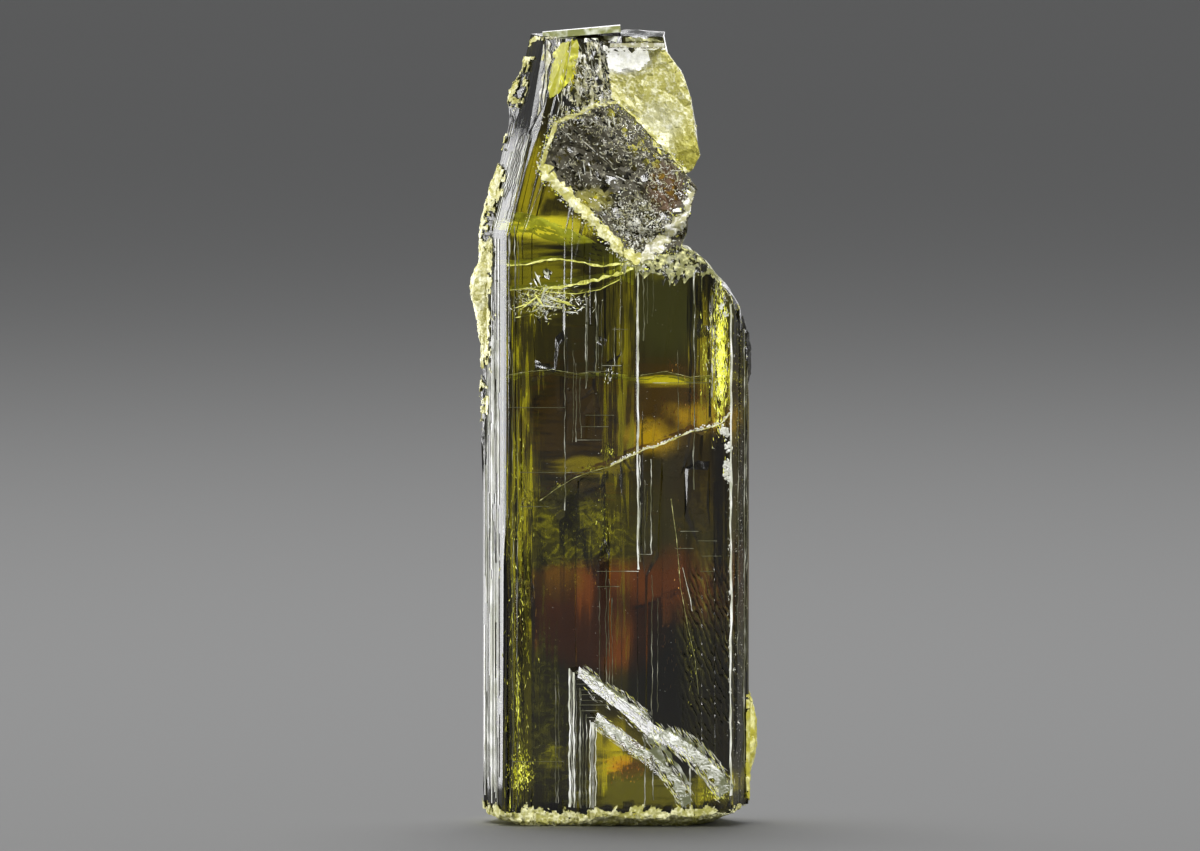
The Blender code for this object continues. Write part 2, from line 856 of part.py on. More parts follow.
def tidy_mesh(crystal):
    """Merges flat neighbours into one face each and drops what the joins left over."""
    shape = bmesh.new()
    shape.from_mesh(crystal.data)
    bmesh.ops.remove_doubles(shape, verts=shape.verts, dist=WELD_GAP)
    bmesh.ops.dissolve_degenerate(shape, edges=shape.edges, dist=WELD_GAP)
    bmesh.ops.dissolve_limit(
        shape,
        angle_limit=FLAT_ANGLE,
        verts=shape.verts,
        edges=shape.edges,
    )
    bmesh.ops.triangulate(shape, faces=shape.faces)
    shape.to_mesh(crystal.data)
    shape.free()


def set_in_place(crystal):
    """Turns millimetres into metres and centres the box over the origin."""
    xs = [v.co.x for v in crystal.data.vertices]
    ys = [v.co.y for v in crystal.data.vertices]
    zs = [v.co.z for v in crystal.data.vertices]
    middle = Vector(((min(xs) + max(xs)) / 2, (min(ys) + max(ys)) / 2, min(zs)))
    crystal.data.transform(Matrix.Scale(MM, 4) @ Matrix.Translation(-middle))


def epidote_material():
    material = bpy.data.materials.new("epidote")
    material.use_nodes = True
    surface = material.node_tree.nodes["Principled BSDF"]
    surface.inputs["Base Color"].default_value = COLOUR
    surface.inputs["Roughness"].default_value = ROUGHNESS
    surface.inputs["Metallic"].default_value = 0.0
    surface.inputs["IOR"].default_value = REFRACTIVE_INDEX
    surface.inputs["Transmission Weight"].default_value = CLEARNESS
    return material


def main():
    for old in list(bpy.data.objects):
        bpy.data.objects.remove(old)
    part = new_collection("epidote crystal")
    growths = new_collection("growths")
    breaks = new_collection("breaks")
    late_growths = new_collection("late_growths")

    crystal = build_prism(part)
    build_plates(growths)
    build_ledge_strips(growths)
    build_terraces(growths)
    for name, settings in CRUSTS.items():
        build_crust(name, settings, growths)
    for name, (centre, half_sizes) in LUMPS.items():
        build_lump(name, centre, half_sizes, late_growths)
    for name, settings in BREAKS.items():
        build_break(name, settings, breaks)
    for name, settings in FLAT_CUTS.items():
        build_flat_cut(name, settings, breaks)
    build_outline_cutter(breaks)
    build_foot_cutter(breaks)
    build_sliver(late_growths)
    build_shelf(late_growths)

    apply_booleans(crystal, growths, "UNION")
    apply_booleans(crystal, breaks, "DIFFERENCE")
    apply_booleans(crystal, late_growths, "UNION")
    for helpers in (growths, breaks, late_growths):
        hide_helpers(helpers)

    tidy_mesh(crystal)
    set_in_place(crystal)
    crystal.data.materials.clear()
    crystal.data.materials.append(epidote_material())


main()
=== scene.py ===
"""Looks of the epidote crystal: the striated prism, its broken head, its veils and its growth steps.

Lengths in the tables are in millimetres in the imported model's frame, with the crystal upright on +Z,
its broad front face towards -Y and its foot at z = 0. MM turns them into metres.
"""
import math
import random

import bmesh
import bpy
import numpy as np
from mathutils import Matrix, Vector, noise
from mathutils.bvhtree import BVHTree


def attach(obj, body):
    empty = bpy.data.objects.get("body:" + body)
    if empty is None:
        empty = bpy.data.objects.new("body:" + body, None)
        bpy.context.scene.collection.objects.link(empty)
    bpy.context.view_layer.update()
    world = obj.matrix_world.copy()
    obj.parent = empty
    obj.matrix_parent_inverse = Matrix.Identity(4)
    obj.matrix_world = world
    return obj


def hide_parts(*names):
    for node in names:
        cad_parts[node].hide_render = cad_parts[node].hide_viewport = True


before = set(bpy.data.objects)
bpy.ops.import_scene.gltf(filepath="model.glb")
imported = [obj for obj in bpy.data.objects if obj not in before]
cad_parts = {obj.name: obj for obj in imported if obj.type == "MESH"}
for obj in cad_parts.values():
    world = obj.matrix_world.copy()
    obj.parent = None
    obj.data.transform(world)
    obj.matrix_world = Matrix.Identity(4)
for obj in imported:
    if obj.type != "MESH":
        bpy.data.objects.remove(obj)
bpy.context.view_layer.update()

bl_info = {
    "name": "Epidote crystal",
    "version": (1, 0, 0),
    "blender": (4, 5, 0),
    "location": "3D View > Sidebar > Epidote",
    "description": "Builds the looks of a free-standing epidote crystal round its solid",
    "category": "Add Mesh",
}

MM = 0.001
NODE = "epidote_crystal"
IOR = 1.74

# The broad front face, and the height and slope at which the head starts to lean
FRONT_Y = -2.7
LEAN_Z = 31.0
LEAN_SLOPE = 0.243
UPRIGHT = Vector((0, 0, 1))
LEANING = Vector((LEAN_SLOPE, 0, 1)).normalized()

# What the camera looks at, how much width it takes in there, and its film
VIEW_CENTRE = (-0.726, -3.0, 21.07)
VIEW_WIDTH = 62.83
FILM_WIDTH = 36.0

# The floor's width, in metres
FLOOR_WIDTH = 8.0

# Outlines of the broken places on the front of the head, as (x, z)
HEAD_ZONES = {
    "plate": (
        (-0.4, 40.6), (2.8, 40.7), (4.0, 38.6), (4.6, 36.0), (4.5, 34.3), (3.7, 34.0),
        (2.15, 36.0), (-0.1, 38.1)),
    "pit": (
        (-3.8, 34.7), (-2.8, 37.2), (0.1, 37.9), (2.15, 36.0), (4.0, 34.2), (4.6, 33.4), (4.2, 32.1),
        (3.5, 30.5), (1.4, 29.6), (-0.2, 31.0), (-2.3, 33.1)),
    "groove": ((-3.6, 41.4), (-0.4, 41.0), (-0.1, 37.9), (-2.8, 37.1), (-3.8, 35.0), (-4.3, 35.5)),
}
YELLOW_FACET = (
    (-3.15, 40.5), (-2.7, 41.05), (-1.84, 41.25), (-1.9, 40.4), (-2.23, 39.2), (-3.08, 38.3), (-3.34, 38.2),
    (-3.41, 38.7), (-3.2, 39.9))
GLARE = ((-0.5, 39.9), (-0.5, 40.7), (1.7, 40.7), (1.9, 40.2), (1.35, 39.6), (0.6, 39.75), (0.2, 39.5))

# Stretches of the pit's rim, as (x, z)
RIM_LOW = ((-3.82, 34.71), (-3.03, 33.66), (-1.88, 32.57), (-0.73, 31.41), (0.43, 30.16), (1.37, 29.63))
RIM_TOP = (
    (-3.82, 34.71), (-3.03, 36.96), (-2.04, 37.28), (-0.99, 37.8), (0.22, 37.91), (1.37, 36.86),
    (2.68, 35.5), (3.99, 34.03),
)
RIM_RIGHT = ((1.37, 29.63), (2.68, 30.79), (3.57, 31.73), (3.99, 32.62), (4.35, 33.3), (3.99, 33.93))

# Ragged bands on the rim: name, line, width, finish, how many chips lie round it and how far they spread
RIMS = (
    ("rim_low", RIM_LOW, 0.75, "yellow crust", 1300, 0.21),
    ("rim_top", RIM_TOP, 0.24, "yellow crust", 620, 0.16),
    ("rim_right", RIM_RIGHT, 0.85, "white fracture", 600, 0.28),
)

# The rim's chips: name, finish, share of them
RIM_CHIPS = (("rim_white_chips", "white chips", 0.6), ("rim_yellow_chips", "yellow flecks", 0.4))

# Zones whose faces are cut finer and roughened, and how rough each zone's surface is, if not BREAK_SHARE
ROUGH_ZONES = ("plate", "glare", "groove", "shoulder", "crust", "lens", "foot", "break")
BREAK_SHARE = 0.6
ZONE_ROUGHNESS = {
    "prism": 0.0, "terrace": 0.1, "slope": 0.2, "facet": 0.1, "sliver": 0.2, "splash": 0.1, "pit": 0.35,
    "plate": 1.0, "groove": 0.5, "top": 0.2}

# Healed cracks inside the crystal: the line where each meets the front face, its far edge as (across,
# up, deep) from that line, and the share of it that is torn away. Then the cells they are drawn with.
VEILS = {
    "upper_veil": (
        ((-5.96, 32.36), (-5.54, 32.25), (-4.39, 32.15), (-3.24, 31.73), (-1.77, 31.1), (-0.46, 30.42),
         (0.43, 29.9), (1.05, 29.53)), (0.0, -1.1, 1.6), 0.35),
    "hair_veil": (
        ((-5.96, 29.48), (-4.91, 29.53), (-3.61, 29.74), (-2.82, 29.79), (-1.77, 29.63), (-0.73, 29.42),
         (0.06, 29.53), (0.95, 29.53)), (0.0, 0.16, 1.2), 0.15),
    "lens_veil": (
        ((-3.87, 28.12), (-2.82, 28.22), (-1.77, 28.43), (-0.73, 28.64), (0.22, 28.9), (0.95, 29.21),
         (1.47, 29.63)), (0.0, 0.38, 0.8), 0.1),
    "low_veil": (
        ((-5.54, 28.17), (-4.39, 28.27), (-3.45, 28.06), (-2.04, 27.96), (-0.73, 28.17), (0.32, 28.69)),
        (0.0, 0.14, 1.0), 0.4),
    "mid_veil": (
        ((-5.54, 23.66), (-4.39, 23.87), (-3.24, 23.98), (-2.04, 23.77), (-0.73, 23.82), (1.37, 23.66),
         (2.68, 23.87), (3.99, 23.56), (5.14, 23.66)), (0.0, -0.3, 1.6), 0.5),
    "ledge_veil": (
        ((-3.87, 17.17), (-3.03, 17.8), (-2.19, 18.32), (-1.25, 18.64), (-0.41, 18.85), (0.43, 19.27),
         (1.37, 19.69), (2.15, 19.95), (3.04, 20.31), (3.99, 20.73), (4.77, 20.89), (5.66, 21.2),
         (6.18, 21.78), (6.5, 22.5)), (0.0, 0.35, 0.5), 0.5),
}
VEIL_CELL = 0.12
VEIL_WALL = 0.02

# The slanting ledge's bright line
LEDGE_LINE = (
    (-0.2, 18.95), (0.43, 19.27), (1.37, 19.69), (1.6, 19.86), (2.15, 19.95), (3.04, 20.31), (3.99, 20.73),
    (4.77, 20.89), (5.66, 21.2), (6.1, 21.7))

# Finishes of lit edges, from faint to bright, which the next two tables give by number
EDGE_FINISHES = ("faint edge", "thin edge", "lit edge")

# Lit edges of growth steps on the front face: x, low z, high z, width, finish
STEP_LINES = (
    (1.26, 13.5, 29.6, 0.06, 2), (1.37, 13.9, 19.5, 0.025, 1), (1.95, 14.3, 19.3, 0.03, 1),
    (1.62, 14.3, 18.2, 0.02, 0), (-2.56, 16.6, 26.6, 0.022, 1), (-2.15, 20.2, 25.0, 0.02, 0),
    (-1.98, 20.2, 24.3, 0.02, 1), (-1.46, 23.0, 28.1, 0.03, 1), (-1.38, 23.4, 27.7, 0.02, 0),
    (-0.94, 23.9, 28.1, 0.03, 1), (-0.84, 24.2, 27.4, 0.02, 0), (-0.63, 24.0, 27.6, 0.02, 0),
    (4.2, 17.7, 29.4, 0.03, 1), (5.14, 22.5, 27.9, 0.045, 1), (5.3, 23.4, 27.6, 0.03, 0),
    (3.36, 19.8, 25.0, 0.015, 0), (-1.75, 20.4, 23.6, 0.02, 0), (0.05, 24.2, 26.2, 0.02, 1),
    (0.4, 24.4, 26.0, 0.02, 0), (1.55, 25.5, 29.4, 0.03, 1), (1.75, 26.4, 29.2, 0.02, 0),
    (2.05, 26.8, 29.3, 0.02, 0), (2.0, 5.8, 13.2, 0.02, 0), (2.3, 6.0, 12.0, 0.015, 0),
    (-0.4, 6.6, 13.5, 0.02, 0), (-0.1, 6.6, 12.0, 0.02, 0), (-0.25, 6.7, 13.0, 0.015, 0),
    (-0.75, 7.2, 12.6, 0.015, 0), (-5.3, 0.9, 25.0, 0.02, 0), (-5.05, 1.0, 22.0, 0.02, 0),
    (-3.05, 1.2, 8.2, 0.02, 0), (-2.9, 1.2, 8.0, 0.015, 0), (-5.45, 24.0, 31.0, 0.03, 1),
    (-5.2, 26.5, 31.5, 0.03, 1), (-5.0, 27.0, 31.0, 0.02, 0), (2.05, 1.4, 5.6, 0.025, 1),
    (6.5, 9.0, 22.0, 0.02, 0), (6.85, 3.0, 26.0, 0.03, 1), (6.97, 8.0, 24.0, 0.02, 0),
    (-2.31, 1.0, 8.3, 0.055, 2), (-2.2, 1.2, 8.2, 0.03, 1), (-2.09, 1.0, 8.1, 0.05, 2),
    (-1.98, 1.0, 7.7, 0.02, 0), (-1.76, 1.0, 7.3, 0.06, 1), (-1.63, 1.1, 6.2, 0.02, 0),
    (-1.45, 1.0, 5.9, 0.03, 1), (-1.24, 1.0, 5.6, 0.035, 2), (-1.1, 1.0, 5.5, 0.1, 1),
    (-0.95, 1.1, 5.4, 0.03, 2), (1.62, 1.0, 4.6, 0.04, 1), (4.0, 1.0, 3.1, 0.04, 1),
)

# Short level edges of the growth steps: low x, high x, z, finish. Then their width.
LEVEL_LINES = (
    (1.26, 1.95, 14.3, 1), (-0.9, 1.26, 13.4, 1), (-2.0, -0.6, 20.3, 0), (-1.75, -0.3, 21.0, 0),
    (-1.5, 0.0, 21.6, 0), (-1.5, -0.2, 23.9, 1), (-0.6, 0.4, 24.2, 1), (-0.1, 0.7, 26.1, 0),
    (-5.3, -2.6, 3.4, 0), (-4.9, -3.4, 16.8, 0), (3.5, 4.4, 15.5, 0), (3.2, 4.2, 14.6, 0),
    (-0.9, 0.3, 12.6, 0), (-5.5, -2.6, 22.0, 0), (-4.9, -0.6, 18.6, 0), (2.0, 5.0, 23.3, 0),
    (-2.0, -1.45, 8.05, 1), (-1.9, -1.3, 7.75, 0), (-1.9, -1.0, 7.5, 1), (-1.8, -0.75, 7.2, 0),
    (-1.8, -0.55, 6.95, 1), (-1.75, -0.3, 6.65, 0), (-1.75, -0.15, 6.4, 1), (-1.7, -0.8, 6.1, 1),
    (-1.5, -1.0, 5.75, 1), (4.4, 5.4, 15.0, 0), (4.6, 5.6, 14.2, 0), (4.5, 5.3, 13.4, 0),
)
LEVEL_WIDTH = 0.03

# Fine pale streaks on the left facet lie side by side in lanes, on the prism and on the head; they are
# painted reflection, the lamp's streaky sheen on the striated facet
LEFT_FACET_X = -5.95
LEFT_LANES = 11
LANE_STEP = 0.075
PRISM_LANE_X = -6.78
HEAD_LANE_X = -6.45
PRISM_LANE_TOP = 30.8
HEAD_LANE_LOW = 31.2
HEAD_LANE_LENGTH = 5.2

# The long bright edge between the broad face and the right facet: x, low z, high z, width
RIGHT_EDGE = (6.13, 1.6, 27.9, 0.085)

# Heaps of chips along the edges: x, z, size. Then how many small chips lie on the ledge.
EDGE_CHIPS = (
    (5.75, 20.85, 0.3), (5.95, 20.6, 0.24), (6.02, 19.95, 0.3), (5.98, 19.0, 0.26), (5.86, 18.55, 0.34),
    (6.05, 18.2, 0.2), (6.1, 17.2, 0.14), (6.1, 14.7, 0.12), (6.08, 12.3, 0.12), (6.1, 9.4, 0.14),
    (6.12, 7.1, 0.12), (5.6, 27.3, 0.22), (5.85, 26.9, 0.2), (6.3, 8.2, 0.1), (6.55, 5.4, 0.1),
)
LEDGE_CHIPS = 160

# The star-shaped chip under the veils: spikes as (x, z, length, width, turn in degrees, colour). Then
# the small blades round it: how many, their middle and spread in x and z, and the turns they take.
SPLASH_SPIKES = (
    (-3.98, 28.75, 0.75, 0.09, -24, "white"), (-4.1, 28.55, 0.45, 0.05, -24, "white"),
    (-4.35, 27.55, 1.5, 0.07, 52, "yellow"), (-4.75, 27.35, 1.1, 0.05, 72, "yellow"),
    (-3.7, 27.95, 0.9, 0.08, 20, "white"), (-3.3, 27.75, 0.9, 0.07, -62, "white"),
    (-2.9, 27.55, 1.1, 0.06, -75, "yellow"), (-3.55, 28.15, 0.6, 0.06, 48, "white"),
    (-4.2, 27.05, 1.3, 0.05, 66, "white"), (-3.4, 27.3, 1.4, 0.05, -84, "white"),
    (-2.4, 27.45, 0.9, 0.12, -70, "yellow"), (-1.85, 27.4, 0.5, 0.04, -40, "white"),
    (-1.75, 27.15, 0.5, 0.04, 60, "white"), (-2.2, 27.0, 0.7, 0.04, -86, "white"),
    (-3.9, 27.6, 0.8, 0.1, -35, "yellow"), (-4.9, 26.75, 0.9, 0.05, 80, "yellow"),
    (-3.58, 29.05, 0.5, 0.12, -20, "white"), (-3.46, 29.0, 0.42, 0.1, 15, "white"),
)
STAR_BLADES = 480
STAR_X = (-3.4, 0.9)
STAR_Z = (27.6, 0.36)
STAR_TURNS = (60, -60, -80, 20)

# How much of the narrow left side the pale crust covers at each height
LEFT_CRUST_COVER = (
    (17.0, -0.7), (21.5, -0.1), (25.0, 0.35), (26.5, 0.8), (29.5, 0.85), (31.0, 0.3), (32.2, 0.1),
    (33.0, 0.6), (34.2, 0.0), (36.6, -0.45), (37.6, 0.2), (38.4, 0.6), (39.2, 0.0), (40.4, 0.2),
)

# Curled fibres of the pit: centre x, z, reach x, z, how many, size
PIT_CURLS = (
    (-0.4, 36.9, 3.6, 0.9, 260, 0.34),
    (1.1, 35.5, 2.2, 1.3, 170, 0.34),
    (2.6, 34.0, 1.4, 1.4, 150, 0.32),
    (1.1, 31.7, 1.8, 1.6, 520, 0.32),
    (-2.2, 34.3, 1.0, 0.7, 30, 0.3),
    (-1.2, 39.0, 1.2, 1.6, 90, 0.4),
    (-0.2, 38.2, 1.0, 0.5, 60, 0.35),
)

# Grains of the pit and the plate: zone, how many, how x and z are drawn and from what, least and greatest
# length, depth, and width and thickness for each millimetre of length
PIT_GRAINS = (
    ("pit", 420, "uniform", (-3.8, 4.2), (29.6, 38), (0.04, 0.14), -0.09, 0.7, 0.5),
    ("pit", 420, "gauss", (1.2, 0.9), (31.2, 0.7), (0.06, 0.2), -0.11, 0.7, 0.4),
)
PLATE_GRAINS = ("plate", 420, "uniform", (-0.4, 4.6), (34, 40.7), (0.06, 0.2), -0.03, 0.8, 0.35)

# Single needles of the head: x, z, turn from upright in degrees, length, width
NEEDLES = (
    (-1.35, 35.7, -47, 3.6, 0.05),
    (-0.25, 36.9, 8, 0.9, 0.1), (0.02, 36.95, -12, 0.8, 0.09), (-0.45, 36.6, 30, 0.5, 0.07),
    (-1.55, 34.5, -8, 1.0, 0.05), (-1.2, 34.2, -6, 0.9, 0.05), (-1.8, 34.1, -12, 0.6, 0.04),
    (1.3, 36.5, 40, 1.4, 0.05), (2.4, 35.5, -70, 1.6, 0.05), (3.2, 34.35, 88, 1.6, 0.05),
    (-2.4, 36.2, -50, 1.2, 0.04), (0.5, 33.9, -60, 1.1, 0.05), (1.9, 31.6, 35, 1.4, 0.07),
    (2.5, 31.9, 30, 1.1, 0.06), (-0.4, 31.6, -50, 1.2, 0.06),
)

# Fine needles of the groove: how many, the box (x, z) they are drawn in, their mean turn in degrees and
# its spread
GROOVE_NEEDLES = 260
GROOVE_X = (-3.4, 0.2)
GROOVE_Z = (36.2, 41)
GROOVE_TURN = (-28, 14)

# A barer stretch of the groove, left of an x and between two heights, and the share left out there
BARE_X = -0.9
BARE_LOW = 36.9
BARE_TOP = 38.4
BARE_SHARE = 0.8

# Where the streaks of the terrace slopes lie: line of (x, z), spread, how many, turn in degrees
SLOPE_BANDS = (
    (((-1.8, 8.3), (-0.5, 7.35), (0.8, 6.5), (1.9, 5.6)), 0.45, 260, -40),
    (((1.9, 4.9), (3.4, 4.5), (4.4, 3.7), (5.3, 2.7), (5.9, 1.8)), 0.95, 420, -34),
    (((-0.9, 5.6), (0.2, 4.75), (1.2, 4.0), (1.9, 3.7)), 0.6, 240, -52),
    (((2.0, 4.1), (2.6, 3.2), (3.3, 2.2), (3.9, 1.2)), 0.75, 260, -30),
    (((-1.5, 7.3), (0.0, 6.3), (1.4, 5.2), (2.0, 4.5)), 0.4, 90, -48),
)

# Slanting cracks and slopes on the front face: name, line of (x, z), width, finish
CRACK_LINES = (
    ("ledge_line", LEDGE_LINE, 0.13, "yellow crust"),
    ("ledge_tail", ((-3.9, 17.1), (-3.0, 17.75), (-2.1, 18.3), (-1.2, 18.65), (-0.2, 18.9)),
     0.05, "olive crust"),
    ("long_crack", ((3.0, 17.2), (3.3, 15.0), (3.5, 12.5), (3.9, 10.4), (4.25, 8.8), (4.45, 6.9)),
     0.05, "olive crust"),
    ("outer_slope_high", ((-1.7, 8.2), (-0.5, 7.35), (0.8, 6.5), (1.9, 5.6)), 0.34, "streaked slope"),
    ("outer_slope_low", ((1.9, 4.9), (3.4, 4.6), (4.4, 3.8), (5.3, 2.8), (5.95, 1.8)),
     1.0, "streaked slope"),
    ("inner_slope_high", ((-0.9, 5.6), (0.2, 4.75), (1.2, 4.0), (1.9, 3.7)), 0.6, "streaked slope"),
    ("inner_slope_low", ((2.0, 4.1), (2.6, 3.2), (3.3, 2.2), (3.9, 1.2)), 0.85, "streaked slope"),
    ("slope_step", ((2.5, 4.3), (3.2, 3.4), (4.0, 2.2)), 0.28, "streaked slope"),
    ("pit_needle", ((-2.6, 37.0), (-1.3, 35.9), (-0.05, 34.7)), 0.06, "lit edge"),
    ("top_corner", ((-4.75, 40.5), (-4.5, 41.1), (-4.0, 41.35), (-3.7, 41.3)), 0.4, "yellow crust"),
    ("top_right", ((0.6, 41.2), (1.6, 41.15), (2.6, 41.1)), 0.3, "olive crust"),
    ("right_glare", ((3.1, 31.7), (3.5, 32.5), (3.95, 33.3)), 0.55, "white glare"),
    ("top_bevel", ((-0.55, 40.74), (1.0, 40.8), (2.7, 40.8)), 0.42, "white glare"),
    ("shoulder_edge", ((4.4, 29.9), (5.4, 29.0), (6.0, 28.4), (6.5, 27.5), (6.75, 26.6)),
     0.18, "yellow crust"),
    ("short_crack", ((3.6, 13.6), (4.0, 12.0), (4.1, 11.3)), 0.04, "lit edge"),
    ("upper_line", ((-5.6, 29.45), (-4.6, 29.5), (-3.6, 29.72), (-2.8, 29.78), (-1.7, 29.62), (-0.7, 29.4),
                    (0.1, 29.5), (0.9, 29.5)), 0.15, "veil line"),
    ("lens_line", ((-3.7, 28.2), (-2.8, 28.3), (-1.8, 28.5), (-0.7, 28.75), (0.3, 29.0), (1.0, 29.3)),
     0.28, "veil line"),
    ("low_line", ((-5.5, 28.15), (-4.4, 28.25), (-3.4, 28.05), (-2.0, 27.95), (-0.7, 28.2), (0.3, 28.7)),
     0.07, "veil line"),
    ("mid_line", ((-5.5, 23.7), (-4.4, 23.9), (-3.2, 23.98), (-2.0, 23.8), (-0.7, 23.85)),
     0.04, "olive crust"),
    ("mid_line_right", ((1.4, 23.7), (2.7, 23.9), (4.0, 23.6), (5.1, 23.7)), 0.04, "olive crust"),
)

# Sprays of small flecks: centre (x, z), reach (x, z), how many, colour, depth range, length range
SPRAYS = (
    ((-4.95, 13.0), (0.8, 9.0), 320, "yellow", (-0.01, 0.1), (0.08, 0.6)),
    ((-5.0, 5.0), (0.6, 4.0), 90, "yellow", (0.02, 0.3), (0.08, 0.5)),
    ((-4.85, 2.75), (0.6, 1.0), 300, "bright", (-0.01, 0.1), (0.05, 0.26)),
    ((6.6, 15.0), (0.4, 15.0), 320, "white", (-0.005, 0.03), (0.02, 0.07)),
    ((6.6, 24.0), (0.3, 6.0), 160, "yellow", (-0.005, 0.03), (0.03, 0.12)),
    ((3.4, 14.0), (0.25, 3.0), 70, "amber", (-0.01, 0.1), (0.05, 0.25)),
    ((4.1, 9.0), (0.25, 2.4), 60, "yellow", (-0.01, 0.1), (0.05, 0.25)),
    ((-5.05, 6.5), (0.1, 2.0), 60, "bright", (-0.01, 0.1), (0.15, 0.5)),
    ((5.4, 1.9), (0.7, 0.5), 120, "bright", (-0.01, 0.2), (0.05, 0.2)),
    ((-2.6, 14.8), (2.6, 2.4), 170, "yellow", (0.02, 0.4), (0.04, 0.2)),
    ((-0.55, 16.2), (0.35, 1.8), 90, "yellow", (-0.01, 0.2), (0.08, 0.35)),
    ((-3.0, 17.9), (0.25, 0.2), 30, "yellow", (-0.01, 0.1), (0.05, 0.15)),
    ((-1.25, 18.85), (0.2, 0.18), 30, "yellow", (-0.01, 0.1), (0.05, 0.15)),
    ((-0.2, 19.7), (0.4, 0.5), 60, "yellow", (-0.01, 0.1), (0.06, 0.3)),
    # These two sprays crowd glowing flecks by the right edge near z 24.8: painted light for the strip lit at
    # the right corner.
    ((5.52, 24.8), (0.45, 3.4), 400, "bright", (-0.01, 0.1), (0.1, 0.6)),
    ((5.5, 24.8), (0.5, 3.4), 200, "white", (-0.02, 0.02), (0.06, 0.4)),
    ((4.75, 24.8), (0.25, 2.6), 60, "yellow", (-0.01, 0.1), (0.1, 0.6)),
    ((2.9, 11.5), (0.5, 5.0), 60, "amber", (0.1, 0.8), (0.06, 0.3)),
    ((3.1, 24.2), (0.5, 0.5), 26, "amber", (0.0, 0.2), (0.08, 0.3)),
    ((4.2, 22.4), (0.9, 0.6), 60, "amber", (0.0, 0.3), (0.06, 0.3)),
    ((3.3, 21.4), (2.4, 0.9), 60, "amber", (0.02, 0.6), (0.06, 0.3)),
    ((0.6, 3.1), (0.9, 0.9), 60, "amber", (0.0, 0.5), (0.06, 0.25)),
    ((0.0, 16.0), (5.5, 13.0), 420, "white", (-0.005, 0.05), (0.015, 0.05)),
    ((6.05, 15.0), (0.1, 12.0), 200, "white", (-0.01, 0.03), (0.03, 0.16)),
    ((-0.2, 23.7), (0.4, 0.4), 60, "white", (-0.01, 0.05), (0.04, 0.3)),
    ((5.6, 28.0), (0.5, 0.5), 90, "white", (-0.01, 0.03), (0.03, 0.14)),
    ((3.2, 30.0), (1.6, 0.4), 120, "yellow", (-0.03, 0.03), (0.03, 0.12)),
    ((1.0, 29.75), (0.5, 0.25), 120, "white", (-0.03, 0.03), (0.05, 0.16)),
    ((6.65, 12.0), (0.55, 13.0), 420, "white", (-0.005, 0.03), (0.04, 0.12)),
    # One more bright spray on that strip, painted light like the two above.
    ((5.6, 24.9), (0.26, 3.3), 280, "bright", (-0.02, 0.02), (0.15, 0.6)),
)

# Grain of the noises that break up the colour zones, as cells in a metre along each axis
CLOUDS = {
    "even": (900.0, 900.0, 900.0),
    "upright": (4200.0, 4200.0, 210.0),
    "level": (320.0, 320.0, 2600.0),
}

